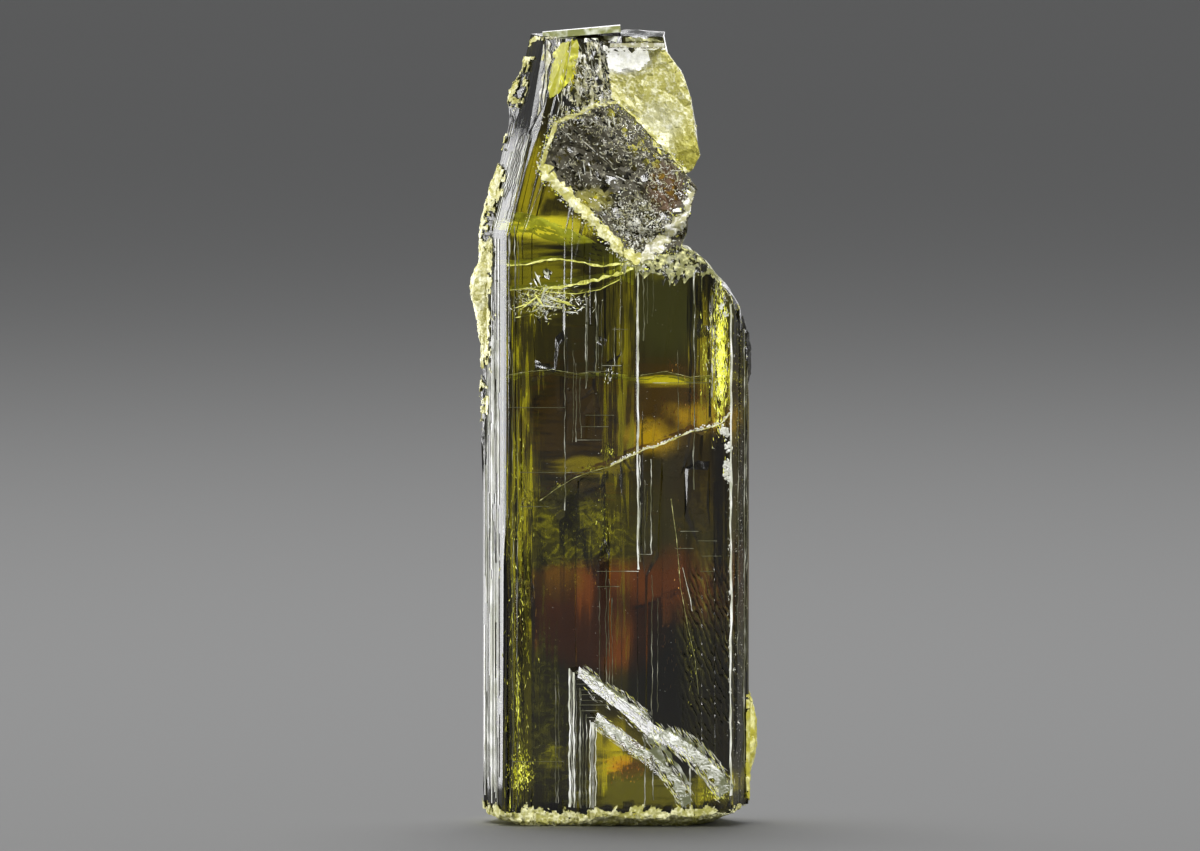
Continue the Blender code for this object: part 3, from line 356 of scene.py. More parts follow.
# Colour zones of the clear crystal, seen as the tint of the light that comes through: name, tint,
# centre (x, z), reach (x, z), raggedness, softness of the edge, and the noise that tears it, + for
# filaments alone. Every zone reaches PATCH_DEPTH to the front and back, right through the crystal.
PATCH_DEPTH = 9
TINTS = (
    ("grey window", (0.056, 0.062, 0.095), (2.8, 27.0), (1.7, 2.6), 0.08, 0.4, "even"),
    ("brown middle", (0.016, 0.01, 0.004), (-1.6, 20.8), (3.9, 3.2), 0.45, 0.35, "level"),
    ("brown bands", (0.045, 0.028, 0.007), (-1.6, 21.2), (3.4, 2.8), 1.4, 0.15, "level"),
    ("brown right", (0.075, 0.045, 0.012), (3.3, 22.0), (2.6, 2.3), 0.25, 0.35, "level"),
    ("ledge glow", (0.6, 0.42, 0.07), (1.9, 20.35), (1.3, 0.75), 0.4, 0.5, "even"),
    ("ledge glow high", (0.6, 0.4, 0.07), (4.6, 21.5), (1.4, 0.75), 0.5, 0.5, "even"),
    ("ledge foot", (0.26, 0.23, 0.04), (-1.2, 18.9), (1.8, 0.5), 0.8, 0.4, "level"),
    ("level patch", (0.8, 0.78, 0.12), (2.6, 23.35), (1.4, 0.3), 0.7, 0.4, "level"),
    ("under ledge", (0.028, 0.02, 0.012), (4.6, 18.2), (1.9, 2.0), 0.15, 0.5, "even"),
    ("olive tangle", (0.04, 0.04, 0.007), (-2.6, 15.4), (3.0, 2.3), 0.55, 0.4, "even"),
    ("olive threads", (0.32, 0.33, 0.04), (-2.3, 15.2), (3.2, 2.2), 0.5, 0.4, "even+"),
    ("threads right", (0.09, 0.07, 0.03), (4.6, 16.0), (1.5, 3.0), 0.4, 0.4, "even+"),
    ("maroon heart", (0.21, 0.06, 0.03), (-0.4, 10.9), (4.8, 2.9), 0.1, 0.22, "even"),
    ("maroon right", (0.12, 0.034, 0.018), (3.4, 11.9), (2.4, 2.4), 0.25, 0.4, "even"),
    ("maroon rust", (0.21, 0.1, 0.018), (-3.1, 12.7), (1.4, 0.9), 0.5, 0.4, "even"),
    ("low left", (0.1, 0.1, 0.025), (-3.9, 5.0), (1.8, 4.0), 0.6, 0.4, "upright"),
    ("low left threads", (0.6, 0.64, 0.08), (-4.0, 5.0), (1.7, 4.0), 0.8, 0.4, "upright+"),
    ("low dark", (0.016, 0.015, 0.012), (3.9, 8.0), (2.6, 3.4), 0.15, 0.4, "even"),
    # Painted shade: a near-black tint that darkens the narrow right facet low down, where little light
    # falls.
    ("right facet low", (0.01, 0.009, 0.006), (6.75, 6.6), (0.6, 4.4), 0.2, 0.35, "upright"),
    ("terrace pane", (0.72, 0.66, 0.07), (0.6, 3.2), (1.5, 2.0), 0.3, 0.35, "even"),
    ("terrace rust", (0.85, 0.45, 0.05), (0.7, 3.0), (1.0, 0.5), 0.6, 0.3, "level"),
    ("terrace foot", (1.0, 1.0, 0.25), (1.6, 1.6), (3.4, 1.0), 0.6, 0.35, "level"),
    ("terrace left", (0.42, 0.4, 0.16), (-0.9, 3.4), (0.35, 2.6), 0.3, 0.3, "upright"),
    ("right foot", (1.0, 1.0, 0.35), (4.9, 2.0), (1.0, 0.9), 0.6, 0.4, "even"),
    ("left column", (0.036, 0.033, 0.006), (-4.9, 13.0), (0.75, 10.5), 0.8, 0.35, "upright"),
    ("left streaks", (0.5, 0.5, 0.05), (-5.0, 12.0), (0.5, 11.5), 3.0, 0.12, "upright"),
    ("centre streaks", (0.3, 0.29, 0.06), (0.35, 23.0), (0.5, 6.0), 2.8, 0.2, "upright"),
    # The yellow edge is partly the clearer yellow corner and partly painted light: the strip lit at the
    # right corner.
    ("yellow edge", (1.0, 1.0, 0.4), (5.55, 24.9), (0.62, 3.6), 0.35, 0.2, "upright"),
    ("yellow edge left", (0.36, 0.33, 0.12), (4.7, 24.6), (0.5, 2.8), 1.6, 0.2, "upright"),
    ("shoulder band", (0.55, 0.55, 0.1), (2.9, 29.5), (2.3, 0.65), 0.5, 0.4, "even"),
    ("veil gap", (0.014, 0.013, 0.005), (-2.4, 30.25), (2.9, 0.6), 0.2, 0.3, "level"),
    ("veil band", (1.0, 1.0, 0.4), (-3.3, 31.4), (2.7, 0.7), 0.4, 0.3, "level"),
    ("under veils", (0.24, 0.24, 0.03), (-4.0, 28.6), (1.7, 1.5), 0.9, 0.4, "level"),
    ("under head", (0.45, 0.42, 0.06), (-4.1, 34.0), (1.2, 1.9), 0.8, 0.35, "even"),
    ("pit dark", (0.045, 0.04, 0.026), (0.2, 34.3), (3.6, 3.2), 0.2, 0.3, "even"),
    ("pit olive", (0.7, 0.68, 0.12), (-1.0, 32.9), (0.9, 0.5), 0.4, 0.4, "even"),
    ("pit rust", (0.38, 0.22, 0.06), (2.7, 33.4), (0.8, 1.2), 0.5, 0.4, "even"),
    ("plate", (1.0, 1.0, 0.75), (2.3, 37.9), (2.4, 3.2), 0.1, 0.2, "even"),
    ("yellow facet", (1.0, 1.0, 0.2), (-2.6, 39.8), (0.6, 1.3), 0.15, 0.2, "even"),
)

# Where the fine slanting ripples lie low on the right, as centre and reach, and the pale grey painted on
# their crests as a highlight
RIPPLES = ((5.0, 8.6), (1.5, 5.6))
RIPPLE_PAINTED_HIGHLIGHT = (0.34, 0.34, 0.32, 1)

# Crushed-stone finishes, as fracture_material takes them. A finish can also glow in its own colour: painted
# light for the light that the veils, flecks, lit edges, yellow facet and glare catch.
FINISHES = {
    "white fracture": dict(pale=(0.9, 0.89, 0.82), deep=(0.42, 0.4, 0.2), share=0.65, scale=1.6),
    "sugary epidote": dict(
        pale=(0.86, 0.84, 0.52), deep=(0.46, 0.43, 0.08), share=0.6, scale=2.2,
        patches=(
            # The near-white first patch, at the plate's top, is a painted highlight: the glare of its
            # frosted face.
            ((0.95, 0.95, 0.93), (0.85, 0.85, 0.8), (0.35, 40.1), (1.3, 0.6)),
            ((0.85, 0.84, 0.62), (0.6, 0.58, 0.28), (2.3, 36.6), (1.2, 1.2)),
            ((0.62, 0.58, 0.1), (0.34, 0.31, 0.02), (3.9, 35.3), (0.8, 1.3)),
        )),
    "white glare": dict(pale=(0.95, 0.95, 0.92), deep=(0.75, 0.75, 0.66), share=0.7, scale=1.6, painted_glow=0.7),
    "yellow facet": dict(
        pale=(0.74, 0.74, 0.05), deep=(0.34, 0.33, 0.01), share=0.45, scale=1.2, coat=0.0, painted_glow=0.3),
    "bright flecks": dict(
        pale=(0.88, 0.88, 0.22), deep=(0.6, 0.6, 0.05), share=0.7, rough=0.35, scale=2.0, painted_glow=0.7),
    "olive crust": dict(pale=(0.78, 0.76, 0.32), deep=(0.15, 0.15, 0.03), share=0.5, scale=1.6),
    "pit crust": dict(
        pale=(0.74, 0.71, 0.5), deep=(0.045, 0.038, 0.014), share=0.28, rough=0.75, scale=2.4, coat=0.0,
        patches=(
            ((0.6, 0.56, 0.14), (0.22, 0.2, 0.02), (-1.2, 32.9), (1.0, 0.6)),
            ((0.5, 0.36, 0.16), (0.12, 0.06, 0.02), (2.7, 33.4), (0.8, 1.2)),
        )),
    "foot crust": dict(pale=(0.9, 0.88, 0.5), deep=(0.42, 0.4, 0.08), share=0.7, scale=1.8),
    "lens crust": dict(pale=(0.88, 0.86, 0.4), deep=(0.46, 0.42, 0.03), share=0.6, scale=0.9, rough=0.35),
    "streaked slope": dict(
        pale=(0.68, 0.69, 0.62), deep=(0.14, 0.15, 0.07), share=0.45, rough=0.3, scale=0.9, coat=0.4),
    "veil line": dict(pale=(0.88, 0.88, 0.3), deep=(0.45, 0.45, 0.06), share=0.6, scale=1.2, painted_glow=0.3),
    "thin edge": dict(pale=(0.78, 0.79, 0.68), deep=(0.1, 0.1, 0.05), share=0.5, rough=0.35, scale=0.35),
    "yellow crust": dict(pale=(0.92, 0.9, 0.56), deep=(0.5, 0.47, 0.1), share=0.65, scale=1.6),
    "green sliver": dict(pale=(0.8, 0.82, 0.66), deep=(0.28, 0.3, 0.1), share=0.6, rough=0.25),
    "veil": dict(pale=(0.78, 0.82, 0.12), deep=(0.34, 0.35, 0.03), share=0.6, scale=0.4, painted_glow=0.55),
    "ledge veil": dict(pale=(0.8, 0.62, 0.08), deep=(0.26, 0.15, 0.02), share=0.4, scale=0.4, painted_glow=0.3),
    "white chips": dict(pale=(0.9, 0.9, 0.85), deep=(0.62, 0.62, 0.52), share=0.6, rough=0.35, scale=2.0),
    "yellow flecks": dict(
        pale=(0.8, 0.82, 0.1), deep=(0.45, 0.44, 0.03), share=0.6, rough=0.35, scale=2.0, painted_glow=0.35),
    "amber flecks": dict(
        pale=(0.85, 0.5, 0.05), deep=(0.4, 0.18, 0.02), share=0.6, rough=0.35, scale=2.0, painted_glow=0.3),
    "lit edge": dict(
        pale=(0.93, 0.94, 0.88), deep=(0.45, 0.46, 0.33), share=0.7, rough=0.35, scale=0.35, painted_glow=0.12),
    "faint edge": dict(pale=(0.45, 0.45, 0.34), deep=(0.07, 0.07, 0.03), share=0.45, rough=0.35, scale=0.35),
}

# Pale skins: name, the zones they cover, finish, share of gaps, grain of the gaps, extra cuts
SKINS = (
    ("plate_skin", ("plate",), "sugary epidote", 0.0, (2, 2, 2), 0),
    ("sliver_skin", ("sliver",), "green sliver", 0.0, (2, 2, 2), 0),
    ("shelf_skin", ("shelf",), "white fracture", 0.0, (2, 2, 2), 0),
    ("shoulder_skin", ("shoulder",), "olive crust", 0.42, (2.2, 2.2, 2.2), 0),
    ("groove_skin", ("groove",), "white fracture", 0.6, (5.0, 5.0, 1.4), 1),
    ("glare_skin", ("glare",), "white glare", 0.0, (2, 2, 2), 0),
    ("pit_skin", ("pit",), "pit crust", 0.4, (2.4, 2.4, 2.4), 1),
)

# Soft lamps: name, direction, point aimed at in mm, distance in m, size in m and brightness
LAMPS = (
    ("left rear softbox", (-0.775, 0.632, 0.0), (-6.7, -0.6, 10.0), 0.022, (0.018, 0.06), 3.8),
    ("rear softbox", (0.0, 1.0, 0.0), (0, 0, 12.0), 0.2, (0.1, 0.12), 1.7),
    ("left softbox", (-0.93, -0.3, 0.2), (0, 0, 20.0), 0.5, (0.3, 0.4), 7.0),
    ("overhead softbox", (-0.1, 0.3, 1.0), (0, 0, 20.0), 0.5, (0.4, 0.3), 3.5),
    ("upper right softbox", (0.53, -0.55, 0.65), (0, 0, 20.0), 0.6, (0.36, 0.36), 12.0),
    ("right strip", (0.9, -0.44, 0.15), (0, 0, 26.0), 0.5, (0.03, 0.3), 1.4),
)
OFF_THE_FLOOR = ("left rear softbox", "rear softbox", "left softbox", "upper right softbox")

# Materials made so far, by name, the crystal's body and its surface
BUILT = {}


def into(mode):
    """Puts the active object into a mode, such as EDIT or OBJECT."""
    bpy.ops.object.mode_set(mode=mode)


def select_all():
    """In edit mode, selects the whole mesh."""
    bpy.ops.mesh.select_all(action="SELECT")


def deselect():
    """Leaves nothing selected and no object in edit mode."""
    if bpy.context.object and bpy.context.object.mode != "OBJECT":
        into("OBJECT")
    bpy.ops.object.select_all(action="DESELECT")


def make_active(piece):
    """Selects one object alone and makes it active."""
    deselect()
    piece.select_set(True)
    bpy.context.view_layer.objects.active = piece


def finish_piece(piece):
    """Lets a finished piece ride on the crystal's body, under one root empty."""
    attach(piece, "root")


def dress(piece, finish, smooth=None):
    """Ends a piece with a crushed-stone finish, first smoothed over edges below an angle in degrees."""
    if smooth:
        bpy.ops.object.shade_smooth_by_angle(angle=math.radians(smooth))
    piece.data.materials.append(finish_of(finish))
    finish_piece(piece)


def copy_of_solid(name):
    """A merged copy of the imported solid's mesh, as a new object at the origin."""
    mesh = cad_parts[NODE].data.copy()
    mesh.name = name
    mesh.materials.clear()
    piece = bpy.data.objects.new(name, mesh)
    bpy.context.scene.collection.objects.link(piece)
    for key in list(mesh.attributes.keys()):
        attribute = mesh.attributes[key]
        if not attribute.is_internal and attribute.name != "position":
            if attribute.domain == "CORNER" or attribute.data_type == "FLOAT_COLOR":
                mesh.attributes.remove(attribute)
    make_active(piece)
    into("EDIT")
    select_all()
    bpy.ops.mesh.remove_doubles(threshold=1e-6)
    bpy.ops.mesh.normals_make_consistent(inside=False)
    into("OBJECT")
    return piece


def inside(outline, x, z):
    """True where (x, z) is inside a closed outline of (x, z) points."""
    crossings = False
    for (ax, az), (bx, bz) in zip(outline, (*outline[1:], outline[0])):
        if (az > z) != (bz > z) and x < (bx - ax) * (z - az) / (bz - az) + ax:
            crossings = not crossings
    return crossings


def between(table, x):
    """The height of a polyline of (x, z) points at x."""
    for (ax, az), (bx, bz) in zip(table, table[1:]):
        if min(ax, bx) <= x <= max(ax, bx):
            return az + (bz - az) * (x - ax) / (bx - ax) if bx != ax else az
    return table[0][1] if abs(x - table[0][0]) < abs(x - table[-1][0]) else table[-1][1]


def grows_along(centre, normal):
    """True where a face at a centre lies along the prism, below the bend or on the leaning head."""
    direction = UPRIGHT if centre.z < LEAN_Z else LEANING
    return abs(normal.dot(direction)) < 0.03


def zone_of(centre, normal):
    """The part of the crystal's surface that a face at a centre in millimetres belongs to."""
    x, y, z = centre
    if z > 41.2 and normal.y < -0.8 and -1.4 < y < -0.2:
        return "sliver"
    if 40.6 < z < 41.15 and normal.y < -0.8 and -1.3 < y < -0.95 and -0.5 < x < 2.8:
        return "shelf"
    if inside(YELLOW_FACET, x, z) and normal.y < -0.5:
        return "facet"
    if y > FRONT_Y + 0.35 and normal.y < 0.25 and y < 1.5:
        for name, outline in HEAD_ZONES.items():
            if inside(outline, x, z):
                return "glare" if name == "plate" and inside(GLARE, x, z) else name
    if grows_along(centre, normal):
        return "prism"
    if z < 1.1 and normal.z < -0.15:
        return "foot"
    lean = max(0.0, z - LEAN_Z) * LEAN_SLOPE
    if x < -5.7 + lean and 18.5 < z < 39.6 and abs(y - 0.2) < 1.9:
        return "crust"
    if x > 6.6 and z < 7.5:
        return "lens"
    if 28.0 < z < 31.2 and 0.2 < x < 5.6 and normal.y < 0.3:
        return "shoulder"
    if y < -1.6 and z < 9:
        if -0.97 < normal.y < -0.15 and normal.x > 0.15 and normal.z > 0.15:
            return "slope"
        return "wall" if -0.97 < normal.y < -0.15 and normal.x < -0.15 else "terrace"
    if y < -1.6 and 26.0 < z < 29.6 and x < -0.8:
        return "splash"
    return "top" if z > 39.5 else "break"


def zone_at(face):
    """The zone of a face of a mesh in edit mode."""
    return zone_of(face.calc_center_median() / MM, face.normal)


def select_faces(piece, chosen):
    """In edit mode, selects just the faces for which chosen(face) is true."""
    bpy.ops.mesh.select_mode(type="FACE")
    bpy.ops.mesh.select_all(action="DESELECT")
    shape = bmesh.from_edit_mesh(piece.data)
    for face in shape.faces:
        if chosen(face):
            face.select_set(True)
    bmesh.update_edit_mesh(piece.data)


def delete_faces(piece, unwanted):
    """In edit mode, deletes the faces for which unwanted(face) is true."""
    select_faces(piece, unwanted)
    bpy.ops.mesh.delete(type="FACE")


def mark_vertices(piece, name, chosen):
    """A vertex group of the vertices whose faces are all chosen, for a modifier to work on."""
    keep = {}
    for polygon in piece.data.polygons:
        fine = chosen(polygon)
        for index in polygon.vertices:
            keep[index] = keep.get(index, True) and fine
    group = piece.vertex_groups.new(name=name)
    group.add([index for index, fine in keep.items() if fine], 1.0, "REPLACE")


def roughen(piece, grain, strength, sunk=0.5, group=""):
    """Applies a Displace modifier with a cloud grain in millimetres. With sunk 0 it only stands out."""
    texture = bpy.data.textures.new(piece.name + " grain", "CLOUDS")
    texture.noise_scale = grain * MM
    texture.noise_depth = 2
    modifier = piece.modifiers.new("grain", "DISPLACE")
    modifier.texture = texture
    modifier.strength = strength * MM
    modifier.mid_level = sunk
    modifier.vertex_group = group
    make_active(piece)
    bpy.ops.object.modifier_apply(modifier=modifier.name)


def thicken(piece, thickness, offset=0.0):
    """Applies a Solidify modifier of that thickness in millimetres."""
    modifier = piece.modifiers.new("wall", "SOLIDIFY")
    modifier.thickness = thickness * MM
    modifier.offset = offset
    make_active(piece)
    bpy.ops.object.modifier_apply(modifier=modifier.name)


def skin_copy(body, name):
    """A bare copy of the body, in edit mode, for cutting a skin from."""
    make_active(body)
    bpy.ops.object.duplicate()
    piece = bpy.context.object
    piece.name = name
    piece.data.name = name
    piece.data.materials.clear()
    for key in [key for key in piece.keys() if key.startswith("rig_")]:
        del piece[key]
    piece.parent = None
    into("EDIT")
    return piece


def harden(piece, grain, strength, thickness):
    """Makes a cut skin a closed shell that stands out of the body by a ragged relief."""
    into("OBJECT")
    roughen(piece, grain, strength, sunk=0.0)
    thicken(piece, thickness, offset=1.0)
    return piece


def torn(place, streak, gap):
    """True where a noise with its own grain along each axis tears a hole, in a share of about gap."""
    at = Vector((place.x * streak[0], place.y * streak[1], place.z * streak[2]))
    return noise.fractal(at, 0.6, 2.1, 3) * 0.5 + 0.5 < gap


def skin_of(body, name, zones, gap, streak, cuts):
    """A thin shell over some zones of the body, cut finer and torn open where gap says."""
    piece = skin_copy(body, name)
    delete_faces(piece, lambda face: zone_at(face) not in zones)
    if cuts:
        select_all()
        bpy.ops.mesh.subdivide(number_cuts=cuts)
    if gap:
        delete_faces(piece, lambda face: torn(face.calc_center_median() / MM, streak, gap))
    return harden(piece, 0.12, 0.05, 0.03)


def crust_of(body, name, low, high, slice_step, cuts, kept, strength):
    """A ragged crust: the body's skin in a box, sliced fine, where kept(place, normal) is true."""
    piece = skin_copy(body, name)
    for axis in range(3):
        way = Vector([1.0 if index == axis else 0.0 for index in range(3)])
        for corner, facing in ((high, way), (low, -way)):
            select_all()
            bpy.ops.mesh.bisect(plane_co=Vector(corner) * MM, plane_no=facing, clear_outer=True)
    level = low[2] + slice_step
    while level < high[2]:
        select_all()
        bpy.ops.mesh.bisect(plane_co=(0, 0, level * MM), plane_no=(0, 0, 1))
        level += slice_step
    select_all()
    bpy.ops.mesh.subdivide(number_cuts=cuts)
    delete_faces(piece, lambda face: not kept(face.calc_center_median() / MM, face.normal))
    return harden(piece, 0.22, strength, 0.04)


def uneven(place, scale):
    """Layered noise round 0, between about -1 and 1, with cells of 1 / scale millimetres."""
    return noise.fractal(place * scale, 0.6, 2.1, 4)


def on_left_crust(place, normal):
    """Where the pale crust of the narrow left side lies."""
    across = abs(place.y - 0.2) / 1.5
    return between(LEFT_CRUST_COVER, place.z) - across ** 2 + 0.8 * uneven(place, 1.4) > 0.15


def on_yellow_facet(place, normal):
    """Where the bright yellow facet of the head lies."""
    return normal.y < -0.15 and inside(YELLOW_FACET, place.x, place.z)


def on_right_lens(place, normal):
    """Where the yellow lens of the right side lies."""
    across = (place.y + 0.3) / 1.4
    along_it = (place.z - 3.9) / 2.9
    return across ** 2 + along_it ** 2 < 1.0 + 0.55 * uneven(place, 1.3)


def on_foot_band(place, normal):
    """Where the crushed band round the foot lies."""
    return place.z < 0.86 + 0.45 * uneven(place, 1.6)


# Ragged crusts: name, lowest and highest corner, slice, cuts, where it lies, relief, finish
CRUSTS = (
    ("left_crust", (-8.0, -1.7, 18.0), (-3.4, 2.2, 40.3), 0.5, 3, on_left_crust, 0.14, "yellow crust"),
    ("yellow_facet", (-3.8, -3.5, 37.9), (-1.5, 0.0, 41.5), 0.3, 4, on_yellow_facet, 0.05, "yellow facet"),
    ("right_lens", (6.98, -2.0, 0.6), (8.0, 1.6, 8.2), 0.4, 5, on_right_lens, 0.1, "lens crust"),
    ("foot_band", (-8.0, -4.0, 0.16), (8.0, 4.0, 1.6), 0.26, 3, on_foot_band, 0.1, "foot crust"),
)


def drawn_line(name, points):
    """A line of edges through points in millimetres, drawn vertex by vertex."""
    deselect()
    bpy.ops.mesh.primitive_plane_add(size=1, location=(0, 0, 0))
    piece = bpy.context.object
    piece.name = name
    into("EDIT")
    bpy.ops.mesh.merge(type="CENTER")
    bpy.ops.mesh.select_mode(type="VERT")
    select_all()
    here = Vector(points[0])
    bpy.ops.transform.translate(value=here * MM)
    for point in points[1:]:
        step = (Vector(point) - here) * MM
        bpy.ops.mesh.extrude_vertices_move(TRANSFORM_OT_translate={"value": step})
        here = Vector(point)
    into("OBJECT")
    return piece


def bridged(name, first, second, rows):
    """A sheet between two drawn lines of as many points, with rows of faces across."""
    pieces = [drawn_line(name, first), drawn_line(name + "_edge", second)]
    deselect()
    for piece in pieces:
        piece.select_set(True)
    bpy.context.view_layer.objects.active = pieces[0]
    bpy.ops.object.join()
    piece = bpy.context.object
    into("EDIT")
    bpy.ops.mesh.select_mode(type="EDGE")
    select_all()
    bpy.ops.mesh.bridge_edge_loops(number_cuts=rows - 1, interpolation="LINEAR")
    into("OBJECT")
    return piece


class Surface:
    """The front of the crystal, for placing small pieces on it or just under it."""

    def __init__(self, body):
        shape = bmesh.new()
        shape.from_mesh(body.data)
        self.tree = BVHTree.FromBMesh(shape)
        shape.free()

    def front(self, x, z):
        """(y, normal) of the face seen from the front at (x, z), in millimetres."""
        place, normal, _, _ = self.tree.ray_cast(Vector((x, -20, z)) * MM, Vector((0, 1, 0)))
        return (None, None) if place is None else (place.y / MM, normal)


def drape(piece, lift):
    """Lays a sheet on the front of the crystal, lifted off it by so many millimetres."""
    surface = BUILT["surface"]
    for vertex in piece.data.vertices:
        x, _, z = vertex.co / MM
        found, _ = surface.front(x, z)
        if found is None:
            nearest = surface.tree.find_nearest(vertex.co)[0]
            vertex.co = nearest
            found = nearest.y / MM
        vertex.co.y = (found - lift) * MM


def ribbon(name, line, width, rows, lift, wander, thickness, step=0.08, relief=0.11):
    """A ragged band of crushed stone along a line of (x, z) points on the front of the crystal."""
    places = [Vector(line[0])]
    for a, b in zip(line, line[1:]):
        a, b = Vector(a), Vector(b)
        count = max(1, round((b - a).length / step))
        places += [a.lerp(b, (index + 1) / count) for index in range(count)]
    sides = ([], [])
    for index, place in enumerate(places):
        ahead = places[min(index + 1, len(places) - 1)] - places[max(index - 1, 0)]
        across = Vector((-ahead.y, ahead.x)).normalized() * width / 2
        for way, side in zip((-1, 1), sides):
            share = 1 - wander * (0.5 + noise.noise(Vector((place.x * 3, place.y * 3, 7 * way))))
            edge = place + across * way * share
            side.append((edge.x, FRONT_Y, edge.y))
    piece = bridged(name, *sides, rows)
    drape(piece, lift)
    into("EDIT")
    longest = 3 * max(step, width / rows) * MM
    delete_faces(piece, lambda face: max(edge.calc_length() for edge in face.edges) > longest)
    into("OBJECT")
    roughen(piece, 0.12, min(relief, width * 0.4))
    thicken(piece, thickness, offset=1.0)
    return piece


def copies_of(name, model, matrices):
    """One piece that holds a copy of the model's mesh for each matrix."""
    base = np.array([v.co for v in model.data.vertices])
    faces = [list(p.vertices) for p in model.data.polygons]
    points, all_faces = [], []
    for number, matrix in enumerate(matrices):
        m = np.array(matrix)
        points.append(base @ m[:3, :3].T + m[:3, 3])
        all_faces.extend([index + number * len(base) for index in face] for face in faces)
    mesh = bpy.data.meshes.new(name)
    mesh.from_pydata(np.concatenate(points).tolist(), [], all_faces)
    piece = bpy.data.objects.new(name, mesh)
    bpy.context.scene.collection.objects.link(piece)
    bpy.data.objects.remove(model)
    return piece


def finish_copies(name, model, places, finish):
    """Makes the copies one piece with its finish."""
    dress(copies_of(name, model, places), finish)


def added(name, primitive, location=(0, 0, 0), **shape):
    """A new primitive of that name, alone selected, as a start for copies."""
    deselect()
    primitive(location=location, **shape)
    bpy.context.object.name = name
    return bpy.context.object


def shard_model(name, sides=5, top=0.35):
    """One small angular chip, about a millimetre across."""
    piece = added(
        name, bpy.ops.mesh.primitive_cone_add, vertices=sides, radius1=0.5, radius2=top * 0.5, depth=0.6)
    into("EDIT")
    select_all()
    bpy.ops.mesh.bisect(
        plane_co=(0.2, 0.1, 0.15), plane_no=(0.7, 0.3, 0.65), use_fill=True, clear_outer=True)
    into("OBJECT")
    return piece


def curl_model(name):
    """One short curled fibre, about a millimetre across."""
    piece = added(
        name, bpy.ops.mesh.primitive_circle_add, vertices=4, radius=0.07, location=(0.5, 0, 0),
        rotation=(math.pi / 2, 0, 0))
    bpy.ops.object.transform_apply(location=True, rotation=True, scale=True)
    into("EDIT")
    select_all()
    bpy.ops.mesh.spin(steps=7, angle=2.3, center=(0, 0, 0), axis=(0, 0, 1))
    select_all()
    bpy.ops.mesh.remove_doubles(threshold=1e-4)
    bpy.ops.mesh.fill_holes(sides=4)
    select_all()
    bpy.ops.mesh.normals_make_consistent(inside=False)
    into("OBJECT")
    return piece


def strip_model(name):
    """A flat strip a millimetre long and wide, cut across into cells."""
    return added(name, bpy.ops.mesh.primitive_grid_add, x_subdivisions=1, y_subdivisions=48, size=1)


def chip_matrix(place, normal, long, wide, thick, turn):
    """Sets a chip at a place in millimetres: long along the turned direction, thick along the normal."""
    away = Vector(normal).normalized()
    up = Vector((math.sin(turn), 0, math.cos(turn)))
    side = up.cross(away)
    if side.length < 0.01:
        side = Vector((1, 0, 0))
    side.normalize()
    up = away.cross(side)
    turned = Matrix((side * wide, up * long, away * thick)).transposed().to_4x4()
    for row in range(3):
        for column in range(3):
            turned[row][column] *= MM
    return Matrix.Translation(Vector(place) * MM) @ turned


def flat_strip(x, z, long, width, turn=0):
    """The matrix of a flat strip in front of the broad face, centred at (x, z)."""
    return chip_matrix((x, FRONT_Y, z), (0, -1, 0), long, width, 1, turn)


def put_chip(places, chance, x, z, depth, long, wide, thick, turn=None, lean=0.35):
    """Adds a place for one chip on the front of the crystal, at a depth under its surface."""
    y, normal = BUILT["surface"].front(x, z)
    if y is None:
        return
    turn = chance.uniform(-math.pi, math.pi) if turn is None else turn
    tilt = Vector((chance.gauss(0, lean), chance.gauss(0, lean), chance.gauss(0, lean)))
    places.append(chip_matrix((x, y + depth, z), normal + tilt, long, wide, thick, turn))


def along(line, chance):
    """A random place on a line of (x, z) points."""
    steps = [(Vector(b) - Vector(a)).length for a, b in zip(line, line[1:])]
    reach = chance.random() * sum(steps)
    for a, b, step in zip(line, line[1:], steps):
        if reach <= step:
            break
        reach -= step
    return Vector(a).lerp(Vector(b), min(1, reach / step))


